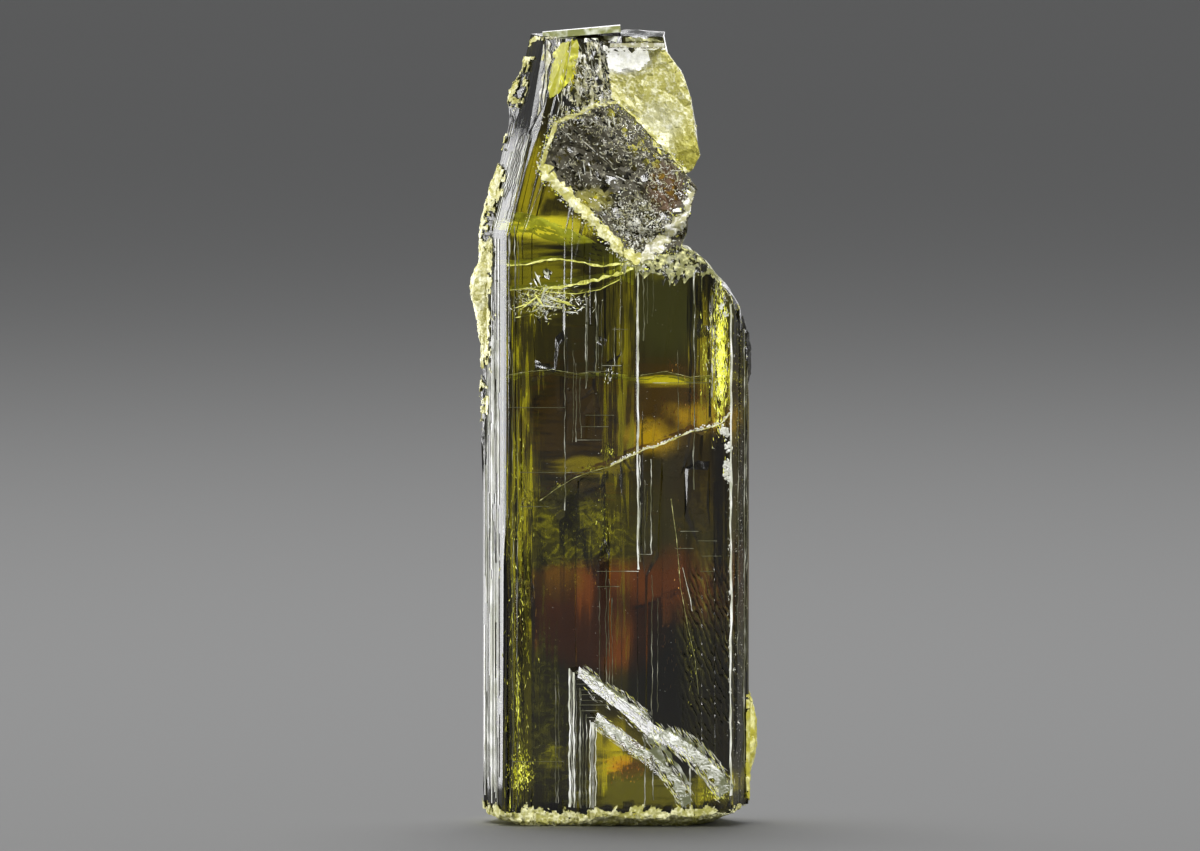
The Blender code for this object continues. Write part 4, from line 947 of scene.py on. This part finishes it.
class Web:
    """The nodes of a material or a node group, with short ways to add and link them."""

    def __init__(self, tree):
        self.tree = tree

    def feed(self, socket, value):
        """Links a socket, or sets the value of an unlinked one."""
        if isinstance(value, bpy.types.NodeSocket):
            self.tree.links.new(value, socket)
        else:
            socket.default_value = value

    def fill(self, node, inputs):
        """Feeds the inputs of a node, given by name or number."""
        for name, value in inputs.items():
            self.feed(node.inputs[name], value)

    def add(self, kind, inputs=None, **settings):
        """A new shader node with its settings made and its inputs fed."""
        node = self.tree.nodes.new("ShaderNode" + kind)
        for name, value in settings.items():
            setattr(node, name, value)
        self.fill(node, inputs or {})
        return node

    def place(self):
        """Object coordinates, in metres."""
        return self.add("TexCoord").outputs["Object"]

    def math(self, operation, first, *second, clamp=False):
        """One step of arithmetic."""
        return self.add(
            "Math", dict(enumerate((first, *second))), operation=operation, use_clamp=clamp).outputs[0]

    def plus(self, first, second):
        """The sum of two values."""
        return self.math("ADD", first, second)

    def minus(self, first, second):
        """The first value less the second."""
        return self.math("SUBTRACT", first, second)

    def times(self, first, *factors):
        """A value multiplied by each factor in turn."""
        for factor in factors:
            first = self.math("MULTIPLY", first, factor)
        return first

    def vector(self, operation, first, *second):
        """One step of vector arithmetic."""
        node = self.add("VectorMath", dict(enumerate((first, *second))), operation=operation)
        return node.outputs["Value" if operation == "LENGTH" else "Vector"]

    def ramp(self, value, low, high, to_low=0.0, to_high=1.0):
        """A smooth change from to_low to to_high as the value goes from low to high."""
        return self.add("MapRange", {
            "Value": value, "From Min": low, "From Max": high, "To Min": to_low, "To Max": to_high,
        }, interpolation_type="SMOOTHSTEP").outputs[0]

    def mix(self, share, first, second):
        """A colour between the first and the second."""
        node = self.add("Mix", {"Factor": share, "A": first, "B": second}, data_type="RGBA")
        return next(socket for socket in node.outputs if socket.type == "RGBA")

    def noise(self, place, scale, detail, rough=0.55, distortion=0.0):
        """A cloudy noise, with a scale in cells for each metre."""
        return self.add("TexNoise", {
            "Vector": place, "Scale": scale, "Detail": detail, "Roughness": rough,
            "Distortion": distortion,
        }).outputs["Fac"]

    def bump(self, height, distance):
        """The normal of a bumpy surface, with a distance in millimetres."""
        return self.add(
            "Bump", {"Strength": 1.0, "Distance": distance * MM, "Height": height}).outputs["Normal"]

    def group(self, name, **inputs):
        """The outputs of a shared node group."""
        return self.add("Group", inputs, node_tree=bpy.data.node_groups[name]).outputs

    def patch(self, centre, reach, ragged, edge, cloud):
        """The mask of a soft patch, its centre and reach as (x, z) in millimetres."""
        centre = Vector((centre[0], 0, centre[1])) * MM
        reach = Vector((reach[0], PATCH_DEPTH, reach[1])) * MM
        return self.group(
            "soft patch", Centre=centre, Reach=reach, Ragged=ragged, Edge=edge, Cloud=cloud)["Mask"]


def new_material(name):
    """A material's data, its web, its Principled shader and its output."""
    material = bpy.data.materials.new(name)
    material.use_nodes = True
    web = Web(material.node_tree)
    web.tree.nodes.clear()
    shader = web.add("BsdfPrincipled")
    return material, web, shader, web.add("OutputMaterial", {"Surface": shader.outputs["BSDF"]})


def new_group(name, inputs, *outputs):
    """A new shader node group's web, the sockets that come in and the node that goes out."""
    group = bpy.data.node_groups.new(name, "ShaderNodeTree")
    for label, value in inputs.items():
        kind = "NodeSocketFloat" if isinstance(value, float) else "NodeSocketVector"
        group.interface.new_socket(label, in_out="INPUT", socket_type=kind).default_value = value
    for label in outputs:
        group.interface.new_socket(label, in_out="OUTPUT", socket_type="NodeSocketFloat")
    return Web(group), group.nodes.new("NodeGroupInput").outputs, group.nodes.new("NodeGroupOutput")


def build_groups():
    """Builds the node groups that the crystal's materials share."""
    web, given, end = new_group("growth striation", {"Fine": 1.0, "Coarse": 1.0}, "Height")
    split = web.add("SeparateXYZ", {0: web.place()}).outputs
    above = web.math("MAXIMUM", web.minus(split["Z"], LEAN_Z * MM), 0.0)
    shifted = web.minus(split["X"], web.times(above, LEAN_SLOPE))
    upright = web.add(
        "CombineXYZ", {"X": shifted, "Y": split["Y"], "Z": web.times(split["Z"], 0.012)}).outputs[0]
    total = web.times(web.noise(upright, 2600.0, 2.0, 0.5), given["Coarse"])
    total = web.plus(total, web.times(web.noise(upright, 9000.0, 3.0, 0.6), 0.45, given["Fine"]))
    total = web.plus(total, web.times(web.noise(upright, 26000.0, 1.0, 0.5), 0.16, given["Fine"]))
    web.fill(end, {"Height": total})

    web, given, end = new_group(
        "soft patch",
        {"Centre": (0, 0, 0), "Reach": (1, 1, 1), "Ragged": 0.2, "Edge": 0.3, "Cloud": 0.5}, "Mask")
    away = web.vector("DIVIDE", web.vector("SUBTRACT", web.place(), given["Centre"]), given["Reach"])
    wave = web.times(web.minus(given["Cloud"], 0.5), given["Ragged"], 4.0)
    distance = web.plus(web.vector("LENGTH", away), wave)
    outer, inner = web.plus(given["Edge"], 1.0), web.minus(1.0, given["Edge"])
    web.fill(end, {"Mask": web.ramp(distance, outer, inner)})

    web, given, end = new_group("filaments", {"Scale": 900.0, "Thinness": 14.0}, "Mask")
    cloud = web.noise(web.place(), given["Scale"], 3.0, 0.5, 1.2)
    ridge = web.times(web.math("ABSOLUTE", web.minus(cloud, 0.5)), given["Thinness"])
    web.fill(end, {"Mask": web.math("SUBTRACT", 1.0, ridge, clamp=True)})

    web, given, end = new_group("fracture grain", {"Scale": 1.0}, "Height", "Crest")
    place = web.place()
    coarse = web.noise(place, web.times(given["Scale"], 1500.0), 6.0, 0.62, 0.6)
    cells = web.add("TexVoronoi", {"Vector": place, "Scale": web.times(given["Scale"], 3300.0)})
    height = web.plus(coarse, web.times(cells.outputs["Distance"], 0.35))
    web.fill(end, {"Height": height, "Crest": web.ramp(coarse, 0.5, 0.72)})


def crystal_material(settings):
    """Clear olive-brown epidote: tinted by zone, striated on its prism faces, rough where it broke."""
    material, web, shader, output = new_material("epidote")
    place = web.place()
    clouds = {
        name: web.noise(web.vector("MULTIPLY", place, grain), 1.0, 3.0, 0.6)
        for name, grain in CLOUDS.items()}
    filaments = web.group("filaments", Scale=1100.0, Thinness=15.0)["Mask"]
    pale_olive = (*(1.9 * c for c in settings.olive), 1)
    colour = web.mix(web.ramp(clouds["upright"], 0.35, 0.7), (*settings.olive, 1), pale_olive)
    for _, tint, centre, reach, ragged, edge, cloud in TINTS:
        mask = web.patch(centre, reach, ragged, edge, clouds[cloud.replace("+", "")])
        if cloud.endswith("+"):
            mask = web.times(mask, filaments)
        colour = web.mix(mask, colour, (*tint, 1))

    ripple_zone = web.patch(*RIPPLES, 0.1, 0.3, clouds["even"])
    slanted = web.vector("MULTIPLY", place, (2600.0, 1.0, 1000.0))
    ripples = web.add("TexWave", {
        "Vector": slanted, "Scale": 0.8, "Distortion": 7.0, "Detail": 2.0,
    }, bands_direction="DIAGONAL").outputs["Fac"]
    # Painted highlight: the ripple crests are tinted pale grey, as if they caught light.
    painted_crest_highlight = web.times(web.ramp(ripples, 0.55, 0.95), ripple_zone)
    colour = web.mix(web.times(painted_crest_highlight, 0.7), colour, RIPPLE_PAINTED_HIGHLIGHT)

    broken = web.add("Attribute", attribute_name="broken").outputs["Fac"]
    lines = web.times(web.group("growth striation", Fine=1.0, Coarse=1.0)["Height"], settings.striation)
    smooth = web.plus(lines, web.times(ripples, ripple_zone, 0.45))
    grain = web.times(web.group("fracture grain", Scale=1.0)["Height"], 3.0)
    height = web.add("Mix", {"Factor": broken, "A": smooth, "B": grain}).outputs["Result"]
    web.fill(shader, {
        "Base Color": colour,
        "Roughness": web.ramp(broken, 0.0, 1.0, settings.polish, settings.broken_roughness),
        "Normal": web.bump(height, 0.02),
        "IOR": IOR,
        "Transmission Weight": 1.0,
    })
    depth = web.add(
        "VolumeAbsorption", {"Color": (*settings.absorbed, 1), "Density": settings.density})
    web.fill(output, {"Volume": depth.outputs["Volume"]})
    return material


def fracture_material(
        name, pale, deep, share=0.5, rough=0.5, scale=1.0, coat=0.3, painted_glow=0.0, patches=()):
    """Crushed, opaque-looking epidote: pale grains over a deeper colour, patches of other tints, and, if
    asked, a painted glow in its own colour.
    """
    material, web, shader, _ = new_material(name)
    grain = web.group("fracture grain", Scale=scale)
    cloud = web.noise(web.place(), 1100.0 * scale, 3.0, 0.6)
    cover = web.plus(web.times(grain["Height"], 0.6), web.times(cloud, 0.6))
    cover = web.ramp(cover, 0.86 - 0.35 * share, 1.1 - 0.35 * share)
    light, dark = (*pale, 1), (*deep, 1)
    for tint, shade, centre, reach in patches:
        mask = web.patch(centre, reach, 0.25, 0.4, cloud)
        light = web.mix(mask, light, (*tint, 1))
        dark = web.mix(mask, dark, (*shade, 1))
    colour = web.mix(cover, dark, light)
    web.fill(shader, {
        "Base Color": colour,
        "Roughness": web.ramp(grain["Crest"], 0.0, 1.0, rough, rough * 0.5),
        "Normal": web.bump(grain["Height"], 0.05),
        "IOR": IOR,
        "Coat Weight": coat,
    })
    # Painted glow: the finish's own colour is given off as emission, standing in for light that the piece
    # would catch.
    if painted_glow:
        web.fill(shader, {"Emission Color": colour, "Emission Strength": painted_glow})
    return material


def finish_of(name):
    """The crushed-stone material of that name, made when it is first asked for."""
    if name not in BUILT:
        BUILT[name] = fracture_material(name, **FINISHES[name])
    return BUILT[name]


def colour_setting(name, description, default):
    """A colour that a user can change."""
    return bpy.props.FloatVectorProperty(
        name=name, description=description, subtype="COLOR", size=3, min=0, max=1, default=default)


def number_setting(name, description, default, low=0, **more):
    """A number that a user can change."""
    return bpy.props.FloatProperty(name=name, description=description, default=default, min=low, **more)


class EpidoteCrystalSettings(bpy.types.PropertyGroup):
    olive: colour_setting("Olive", "Tint of light that passes the clear faces", (0.024, 0.022, 0.010))
    absorbed: colour_setting("Depth colour", "Colour that deep crystal turns to", (0.83, 0.81, 0.40))
    density: number_setting(
        "Depth density", "How fast the crystal darkens with depth, for each metre", 1000.0)
    striation: number_setting("Striation", "Strength of the fine lines along the prism", 1.0, max=4)
    polish: number_setting("Face roughness", "Roughness of the grown faces", 0.06, max=1, subtype="FACTOR")
    broken_roughness: number_setting(
        "Break roughness", "Roughness of the broken faces", 0.3, max=1, subtype="FACTOR")


class EpidoteStageSettings(bpy.types.PropertyGroup):
    floor_colour: colour_setting("Floor", "Colour of the plain pale floor", (0.46, 0.46, 0.46))
    camera_distance: number_setting(
        "Camera distance", "From the front face to the camera", 0.6, low=0.05, subtype="DISTANCE",
        unit="LENGTH")
    camera_rise: bpy.props.FloatProperty(
        name="Camera rise", description="Angle by which the camera looks down", subtype="ANGLE",
        unit="ROTATION", default=math.radians(3.0))
    front_dimness: number_setting("Room in front", "Brightness of the room behind the camera", 0.10)
    rear_glow: number_setting("Room behind", "Brightness of the room behind the crystal", 0.30)
    lamp_strength: number_setting("Lamp strength", "Brightness of all soft lamps together", 1.0)


class EPIDOTE_OT_crystal(bpy.types.Operator):
    """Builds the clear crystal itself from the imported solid"""

    bl_idname = "epidote.crystal"
    bl_label = "Crystal"

    def execute(self, context):
        body = copy_of_solid("crystal")
        into("EDIT")
        select_faces(body, lambda face: zone_at(face) in ROUGH_ZONES)
        bpy.ops.mesh.vertices_smooth(factor=0.3, repeat=1)
        select_faces(body, lambda face: zone_at(face) in ROUGH_ZONES)
        bpy.ops.mesh.subdivide(number_cuts=2)
        into("OBJECT")
        mark_vertices(body, "rough", lambda p: zone_of(p.center / MM, p.normal) in ROUGH_ZONES)
        roughen(body, 0.16, 0.10, group="rough")
        body.data.materials.append(crystal_material(context.scene.epidote_crystal))
        broken = body.data.attributes.new("broken", "FLOAT", "FACE")
        for polygon in body.data.polygons:
            zone = zone_of(polygon.center / MM, polygon.normal)
            broken.data[polygon.index].value = ZONE_ROUGHNESS.get(zone, BREAK_SHARE)
        make_active(body)
        bpy.ops.object.shade_smooth_by_angle(angle=math.radians(12))
        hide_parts(NODE)
        finish_piece(body)
        BUILT["body"] = body
        BUILT["surface"] = Surface(body)
        return {"FINISHED"}


class EPIDOTE_OT_frost(bpy.types.Operator):
    """Covers the crushed and crusted places with their pale skins"""

    bl_idname = "epidote.frost"
    bl_label = "Frosted skins"

    def execute(self, context):
        for name, zones, finish, gap, streak, cuts in SKINS:
            dress(skin_of(BUILT["body"], name, zones, gap, streak, cuts), finish, 60)
        for *crust, finish in CRUSTS:
            dress(crust_of(BUILT["body"], *crust), finish, 60)
        return {"FINISHED"}


class EPIDOTE_OT_veils(bpy.types.Operator):
    """Builds the healed cracks that run into the crystal from its front face"""

    bl_idname = "epidote.veils"
    bl_label = "Veils"

    def execute(self, context):
        for name, (line, (across, up, deep), gap) in VEILS.items():
            near, far = [], []
            low_x, high_x = line[0][0], line[-1][0]
            count = int((high_x - low_x) / VEIL_CELL)
            for step in range(count + 1):
                x = low_x + (high_x - low_x) * step / count
                z = between(line, x) + 0.05 * noise.noise(Vector((x * 2.5, 0, 3)))
                y, _ = BUILT["surface"].front(x, z)
                y = -3.0 if y is None else y
                sway = 0.3 * noise.noise(Vector((x * 0.8, 5, 0)))
                near.append((x, y + 0.03, z))
                far.append((x + across, y + deep * (1 + sway), z + up * (1 + sway)))
            piece = bridged(name, near, far, max(4, int(abs(complex(up, deep)) / VEIL_CELL)))
            roughen(piece, 0.5, 0.10)
            into("EDIT")
            delete_faces(piece, lambda face: torn(face.calc_center_median() / MM, (0.9, 4, 4), gap))
            into("OBJECT")
            thicken(piece, VEIL_WALL)
            dress(piece, "ledge veil" if name == "ledge_veil" else "veil")
        return {"FINISHED"}


class EPIDOTE_OT_rim(bpy.types.Operator):
    """Builds the ragged pale rim round the pit in the head"""

    bl_idname = "epidote.rim"
    bl_label = "Pit rim"

    def execute(self, context):
        for name, line, width, finish, _, _ in RIMS:
            piece = ribbon(name, line, width, rows=9, lift=0.05, wander=0.7, thickness=0.08, step=0.06)
            dress(piece, finish, 70)
        chance = random.Random(11)
        for name, finish, share in RIM_CHIPS:
            places = []
            for _, line, _, _, count, spread in RIMS:
                for _ in range(int(count * share)):
                    place = along(line, chance)
                    size = chance.uniform(0.05, 0.15)
                    x = place.x + chance.gauss(0, spread)
                    z = place.y + chance.gauss(0, spread)
                    put_chip(places, chance, x, z, -0.06, size, size * 0.7, size * 0.5)
            finish_copies(name, shard_model("chip"), places, finish)
        return {"FINISHED"}


def put_grains(places, chance, zone, count, drawn, across, upward, sizes, depth, wide, thick):
    """Adds places for angular grains inside a zone of the head, drawn evenly or round a middle."""
    draw = chance.uniform if drawn == "uniform" else chance.gauss
    for _ in range(count):
        x, z = draw(*across), draw(*upward)
        if inside(HEAD_ZONES[zone], x, z):
            size = chance.uniform(*sizes)
            put_chip(places, chance, x, z, depth, size, size * wide, size * thick)


def put_curls(places, chance):
    """Adds places for curled fibres in the pit and the groove."""
    for x, z, reach_x, reach_z, count, size in PIT_CURLS:
        for _ in range(count):
            at_x, at_z = x + chance.gauss(0, reach_x / 2), z + chance.gauss(0, reach_z / 2)
            if inside(HEAD_ZONES["pit"], at_x, at_z) or inside(HEAD_ZONES["groove"], at_x, at_z):
                long = chance.uniform(0.5, 1.0) * size
                put_chip(places, chance, at_x, at_z, -0.09, long, long * chance.uniform(0.5, 1), long)


def put_needles(places, chance):
    """Adds places for the single needles of the head and the fine ones of the groove."""
    for x, z, turn, long, wide in NEEDLES:
        put_chip(places, chance, x, z, -0.11, long, wide, 0.05, math.radians(turn), 0.02)
    for _ in range(GROOVE_NEEDLES):
        x, z = chance.uniform(*GROOVE_X), chance.uniform(*GROOVE_Z)
        if not inside(HEAD_ZONES["groove"], x, z):
            continue
        if x < BARE_X and BARE_LOW < z < BARE_TOP and chance.random() < BARE_SHARE:
            continue
        long, wide = chance.uniform(0.3, 1.1), chance.uniform(0.02, 0.05)
        turn = math.radians(chance.gauss(*GROOVE_TURN))
        put_chip(places, chance, x, z, -0.02, long, wide, 0.05, turn, 0.15)


class EPIDOTE_OT_pit(bpy.types.Operator):
    """Fills the pit and the groove of the head with curled fibres, grains and needles"""

    bl_idname = "epidote.pit"
    bl_label = "Pit and groove fibres"

    def execute(self, context):
        chance = random.Random(5)
        curls, grains, needles, sugar = [], [], [], []
        put_curls(curls, chance)
        for row in PIT_GRAINS:
            put_grains(grains, chance, *row)
        put_needles(needles, chance)
        put_grains(sugar, chance, *PLATE_GRAINS)
        finish_copies("plate_grains", shard_model("grain"), sugar, "sugary epidote")
        finish_copies("pit_curls", curl_model("curl"), curls, "white fracture")
        finish_copies("pit_grains", shard_model("chip"), grains, "white chips")
        finish_copies("head_needles", shard_model("needle", 4, 0.7), needles, "white chips")
        return {"FINISHED"}


def put_left_lanes(sets, chance):
    """Adds the broken pale streaks of the left facet, on the prism and on the leaning head: painted streaks
    of the light the striated facet reflects.
    """
    for lane in range(LEFT_LANES):
        x, low = PRISM_LANE_X + lane * LANE_STEP, chance.uniform(0.9, 3.0)
        while low < 29.5:
            high = min(low + chance.uniform(3.0, 14.0), PRISM_LANE_TOP)
            sets[chance.choice((2, 2, 1))].append(
                flat_strip(x, (low + high) / 2, high - low, chance.uniform(0.015, 0.034)))
            low = high + chance.uniform(0.4, 5.0)
        long = chance.uniform(1.2, 4.4)
        z = HEAD_LANE_LOW + chance.uniform(0.0, HEAD_LANE_LENGTH - long) + long / 2
        x = HEAD_LANE_X + lane * LANE_STEP + LEAN_SLOPE * (z - LEAN_Z)
        sets[chance.choice((2, 1, 1))].append(flat_strip(x, z, long, 0.025, math.atan(LEAN_SLOPE)))


def put_step_lines(sets):
    """Adds the growth steps' edges and the long right edge."""
    for x, low, high, width, bright in STEP_LINES:
        sets[bright].append(flat_strip(x, (low + high) / 2, high - low, width * 1.5))
    for low, high, z, bright in LEVEL_LINES:
        sets[bright].append(flat_strip((low + high) / 2, z, high - low, LEVEL_WIDTH, math.pi / 2))
    x, low, high, width = RIGHT_EDGE
    sets[2].append(flat_strip(x, (low + high) / 2, high - low, width))


def waver(piece):
    """Bends strips sideways a little, except on the left facet."""
    for vertex in piece.data.vertices:
        x, _, z = vertex.co / MM
        if x > LEFT_FACET_X:
            vertex.co.x += 0.05 * MM * noise.noise(Vector((x * 9, 0, z * 2.6)))
            vertex.co.x += 0.06 * MM * noise.noise(Vector((x * 3, 4, z * 0.7)))


def put_edge_chips(places, chance):
    """Adds places for the heaps of chips along the edges."""
    for x, z, size in EDGE_CHIPS:
        for _ in range(int(4 + size * 90)):
            small = chance.uniform(0.35, 0.9) * size
            at_x, at_z = x + chance.gauss(0, size * 0.3), z + chance.gauss(0, size * 0.45)
            put_chip(places, chance, at_x, at_z, -0.02, small, small * 0.8, small * 0.5)


def put_slope_streaks(streaks, chance):
    """Adds places for the streaks of the terrace slopes, in three finishes."""
    for line, spread, count, turn in SLOPE_BANDS:
        for _ in range(count):
            place = along(line, chance)
            offset = chance.uniform(-spread, spread) * 0.5
            places = streaks[chance.choice(("white chips", "white chips", "thin edge", "veil line"))]
            long = chance.uniform(0.15, 0.6) * (0.4 + spread)
            wide = chance.uniform(0.015, 0.05)
            turned = math.radians(turn + chance.gauss(0, 8))
            put_chip(
                places, chance, place.x + offset, place.y + offset, -0.015, long, wide, 0.03, turned, 0.03)


def put_ledge_chips(places, chance):
    """Adds places for the small chips on the ledge."""
    for _ in range(LEDGE_CHIPS):
        place = along(LEDGE_LINE, chance)
        small = chance.uniform(0.03, 0.11)
        z = place.y + abs(chance.gauss(0, 0.06))
        put_chip(places, chance, place.x, z, -0.02, small * 1.5, small, small)


class EPIDOTE_OT_edges(bpy.types.Operator):
    """Builds the fine lit edges of the growth steps, the ledge and the long front edge"""

    bl_idname = "epidote.edges"
    bl_label = "Lit edges"

    def execute(self, context):
        chance = random.Random(3)
        sets = {2: [], 1: [], 0: []}
        put_step_lines(sets)
        put_left_lanes(sets, chance)
        for bright, places in sets.items():
            finish = EDGE_FINISHES[bright]
            piece = copies_of(finish.replace(" ", "_") + "s", strip_model("strip"), places)
            waver(piece)
            drape(piece, 0.012)
            thicken(piece, 0.02, offset=1.0)
            dress(piece, finish)
        for name, line, width, finish in CRACK_LINES:
            relief = 0.03 if finish == "streaked slope" else 0.11
            rows = max(3, int(width / 0.07))
            piece = ribbon(name, line, width, rows, lift=0.015, wander=0.9, thickness=0.02, relief=relief)
            dress(piece, finish)
        chips = []
        put_edge_chips(chips, chance)
        streaks = {"white chips": chips, "thin edge": [], "veil line": []}
        put_slope_streaks(streaks, chance)
        for name, finish in (("slope_thin", "thin edge"), ("slope_veil", "veil line")):
            finish_copies(name, shard_model("streak", 4, 0.7), streaks[finish], finish)
        put_ledge_chips(chips, chance)
        finish_copies("edge_chips", shard_model("chip"), chips, "white chips")
        return {"FINISHED"}


class EPIDOTE_OT_splash(bpy.types.Operator):
    """Builds the star of thin blades under the veils"""

    bl_idname = "epidote.splash"
    bl_label = "Star of blades"

    def execute(self, context):
        chance = random.Random(9)
        sets = {"white": [], "yellow": []}
        for x, z, long, width, turn, tone in SPLASH_SPIKES:
            turn = math.radians(turn)
            put_chip(sets[tone], chance, x, z, -0.03, long * 1.2, width * 1.5, 0.08, turn, 0.03)
        for _ in range(STAR_BLADES):
            x, z = chance.gauss(*STAR_X), chance.gauss(*STAR_Z)
            places = sets[chance.choice(("white", "white", "yellow"))]
            long, width = chance.uniform(0.06, 0.35), chance.uniform(0.02, 0.05)
            turn = chance.choice(STAR_TURNS) + chance.gauss(0, 12)
            put_chip(places, chance, x, z, -0.02, long, width, 0.04, math.radians(turn), 0.1)
        for tone, finish in (("white", "lit edge"), ("yellow", "veil line")):
            finish_copies("star_" + tone, shard_model("blade", 4, 0.8), sets[tone], finish)
        return {"FINISHED"}


class EPIDOTE_OT_flecks(bpy.types.Operator):
    """Scatters the small flecks inside the crystal and the dust on its faces"""

    bl_idname = "epidote.flecks"
    bl_label = "Flecks"

    def execute(self, context):
        chance = random.Random(7)
        sets = {"yellow": [], "amber": [], "white": [], "bright": []}
        for centre, reach, count, tone, depth, size in SPRAYS:
            for _ in range(count):
                x = centre[0] + chance.gauss(0, reach[0] / 2)
                z = centre[1] + chance.gauss(0, reach[1] / 2)
                long = chance.uniform(*size)
                under, wide, turn = chance.uniform(*depth), chance.uniform(0.02, 0.06), chance.gauss(0, 0.15)
                put_chip(sets[tone], chance, x, z, under, long, wide, 0.03, turn)
        for tone, places in sets.items():
            finish = tone + (" chips" if tone == "white" else " flecks")
            finish_copies(tone + "_flecks", shard_model("fleck"), places, finish)
        return {"FINISHED"}


def softbox(name, direction, target, distance, size, glow):
    """A square area lamp that faces the crystal from a direction, as bright as glow all over."""
    target = Vector(target) * MM
    place = target + Vector(direction).normalized() * distance
    bpy.ops.object.light_add(type="AREA", location=place)
    lamp = bpy.context.object
    lamp.name = name
    lamp.data.shape = "RECTANGLE"
    lamp.data.size, lamp.data.size_y = size
    lamp.data.energy = glow * math.pi * size[0] * size[1]
    lamp.rotation_euler = (target - place).to_track_quat("-Z", "Y").to_euler()
    lamp.visible_camera = False
    return lamp


class EPIDOTE_OT_stage(bpy.types.Operator):
    """Sets the plain pale floor, the soft lamps and the camera"""

    bl_idname = "epidote.stage"
    bl_label = "Stage"

    def execute(self, context):
        scene = context.scene
        settings = scene.epidote_stage
        self.light(settings, self.add_floor(settings))
        self.dim_room(scene, settings)
        self.add_camera(scene, settings)
        scene.view_settings.view_transform = "Standard"
        return {"FINISHED"}

    def add_floor(self, settings):
        """The plain pale floor."""
        deselect()
        bpy.ops.mesh.primitive_plane_add(size=FLOOR_WIDTH, location=(0, 0, 0))
        floor = bpy.context.object
        floor.name = "floor"
        material, web, shader, _ = new_material("floor")
        pale = (*settings.floor_colour, 1)
        shade = (*(0.97 * c for c in settings.floor_colour), 1)
        web.fill(shader, {
            "Base Color": web.mix(web.noise(web.place(), 3.0, 2.0), pale, shade), "Roughness": 0.7})
        floor.data.materials.append(material)
        return floor

    def light(self, settings, floor):
        """The soft lamps, some of which leave the floor alone."""
        crystal_alone = bpy.data.collections.new("all but the floor")
        crystal_alone.objects.link(floor)
        crystal_alone.collection_objects[0].light_linking.link_state = "EXCLUDE"
        for name, direction, target, distance, size, glow in LAMPS:
            lamp = softbox(name, direction, target, distance, size, glow * settings.lamp_strength)
            if name in OFF_THE_FLOOR:
                lamp.light_linking.receiver_collection = crystal_alone

    def dim_room(self, scene, settings):
        """A plain room, dim in front of the crystal and brighter behind it."""
        scene.world = scene.world or bpy.data.worlds.new("studio")
        scene.world.use_nodes = True
        web = Web(scene.world.node_tree)
        aim = web.add("SeparateXYZ", {0: web.add("TexCoord").outputs["Generated"]}).outputs["Y"]
        web.fill(web.tree.nodes["Background"], {
            "Strength": web.ramp(aim, -0.4, 0.8, settings.front_dimness, settings.rear_glow),
            "Color": (0.98, 0.99, 1.0, 1)})

    def add_camera(self, scene, settings):
        """The camera at the photograph's viewing angle."""
        back = Vector((0, -math.cos(settings.camera_rise), math.sin(settings.camera_rise)))
        bpy.ops.object.camera_add(location=Vector(VIEW_CENTRE) * MM + back * settings.camera_distance)
        camera = bpy.context.object
        camera.name = "camera"
        camera.rotation_euler = (-back).to_track_quat("-Z", "Y").to_euler()
        camera.data.sensor_width = FILM_WIDTH
        camera.data.lens = FILM_WIDTH * settings.camera_distance / (VIEW_WIDTH * MM)
        camera.data.clip_start = 0.01
        camera.data.clip_end = 20.0
        scene.camera = camera


class EPIDOTE_PT_panel(bpy.types.Panel):
    """Lists the crystal's sizes, colours and pieces"""

    bl_idname = "EPIDOTE_PT_panel"
    bl_label = "Epidote crystal"
    bl_space_type = "VIEW_3D"
    bl_region_type = "UI"
    bl_category = "Epidote"

    def draw(self, context):
        for name in SETTINGS:
            box = self.layout.box()
            group = getattr(context.scene, name)
            for key in group.__annotations__:
                box.prop(group, key)
        for piece in PIECES:
            self.layout.operator(piece.bl_idname)


SETTINGS = {"epidote_crystal": EpidoteCrystalSettings, "epidote_stage": EpidoteStageSettings}
PIECES = (
    EPIDOTE_OT_crystal, EPIDOTE_OT_frost, EPIDOTE_OT_veils, EPIDOTE_OT_rim, EPIDOTE_OT_pit, EPIDOTE_OT_edges,
    EPIDOTE_OT_splash, EPIDOTE_OT_flecks, EPIDOTE_OT_stage)


def register():
    """Adds the settings, the operators and the panel to Blender."""
    for kind in (*SETTINGS.values(), *PIECES, EPIDOTE_PT_panel):
        bpy.utils.register_class(kind)
    for name, kind in SETTINGS.items():
        setattr(bpy.types.Scene, name, bpy.props.PointerProperty(type=kind))


def unregister():
    """Takes them out again."""
    for name in SETTINGS:
        delattr(bpy.types.Scene, name)
    for kind in reversed((*SETTINGS.values(), *PIECES, EPIDOTE_PT_panel)):
        bpy.utils.unregister_class(kind)


def main():
    """Builds the crystal piece by piece, then its stage."""
    register()
    build_groups()
    bpy.ops.epidote.crystal()
    bpy.ops.epidote.frost()
    bpy.ops.epidote.veils()
    bpy.ops.epidote.rim()
    bpy.ops.epidote.pit()
    bpy.ops.epidote.edges()
    bpy.ops.epidote.splash()
    bpy.ops.epidote.flecks()
    bpy.ops.epidote.stage()


if __name__ == "__main__":
    main()
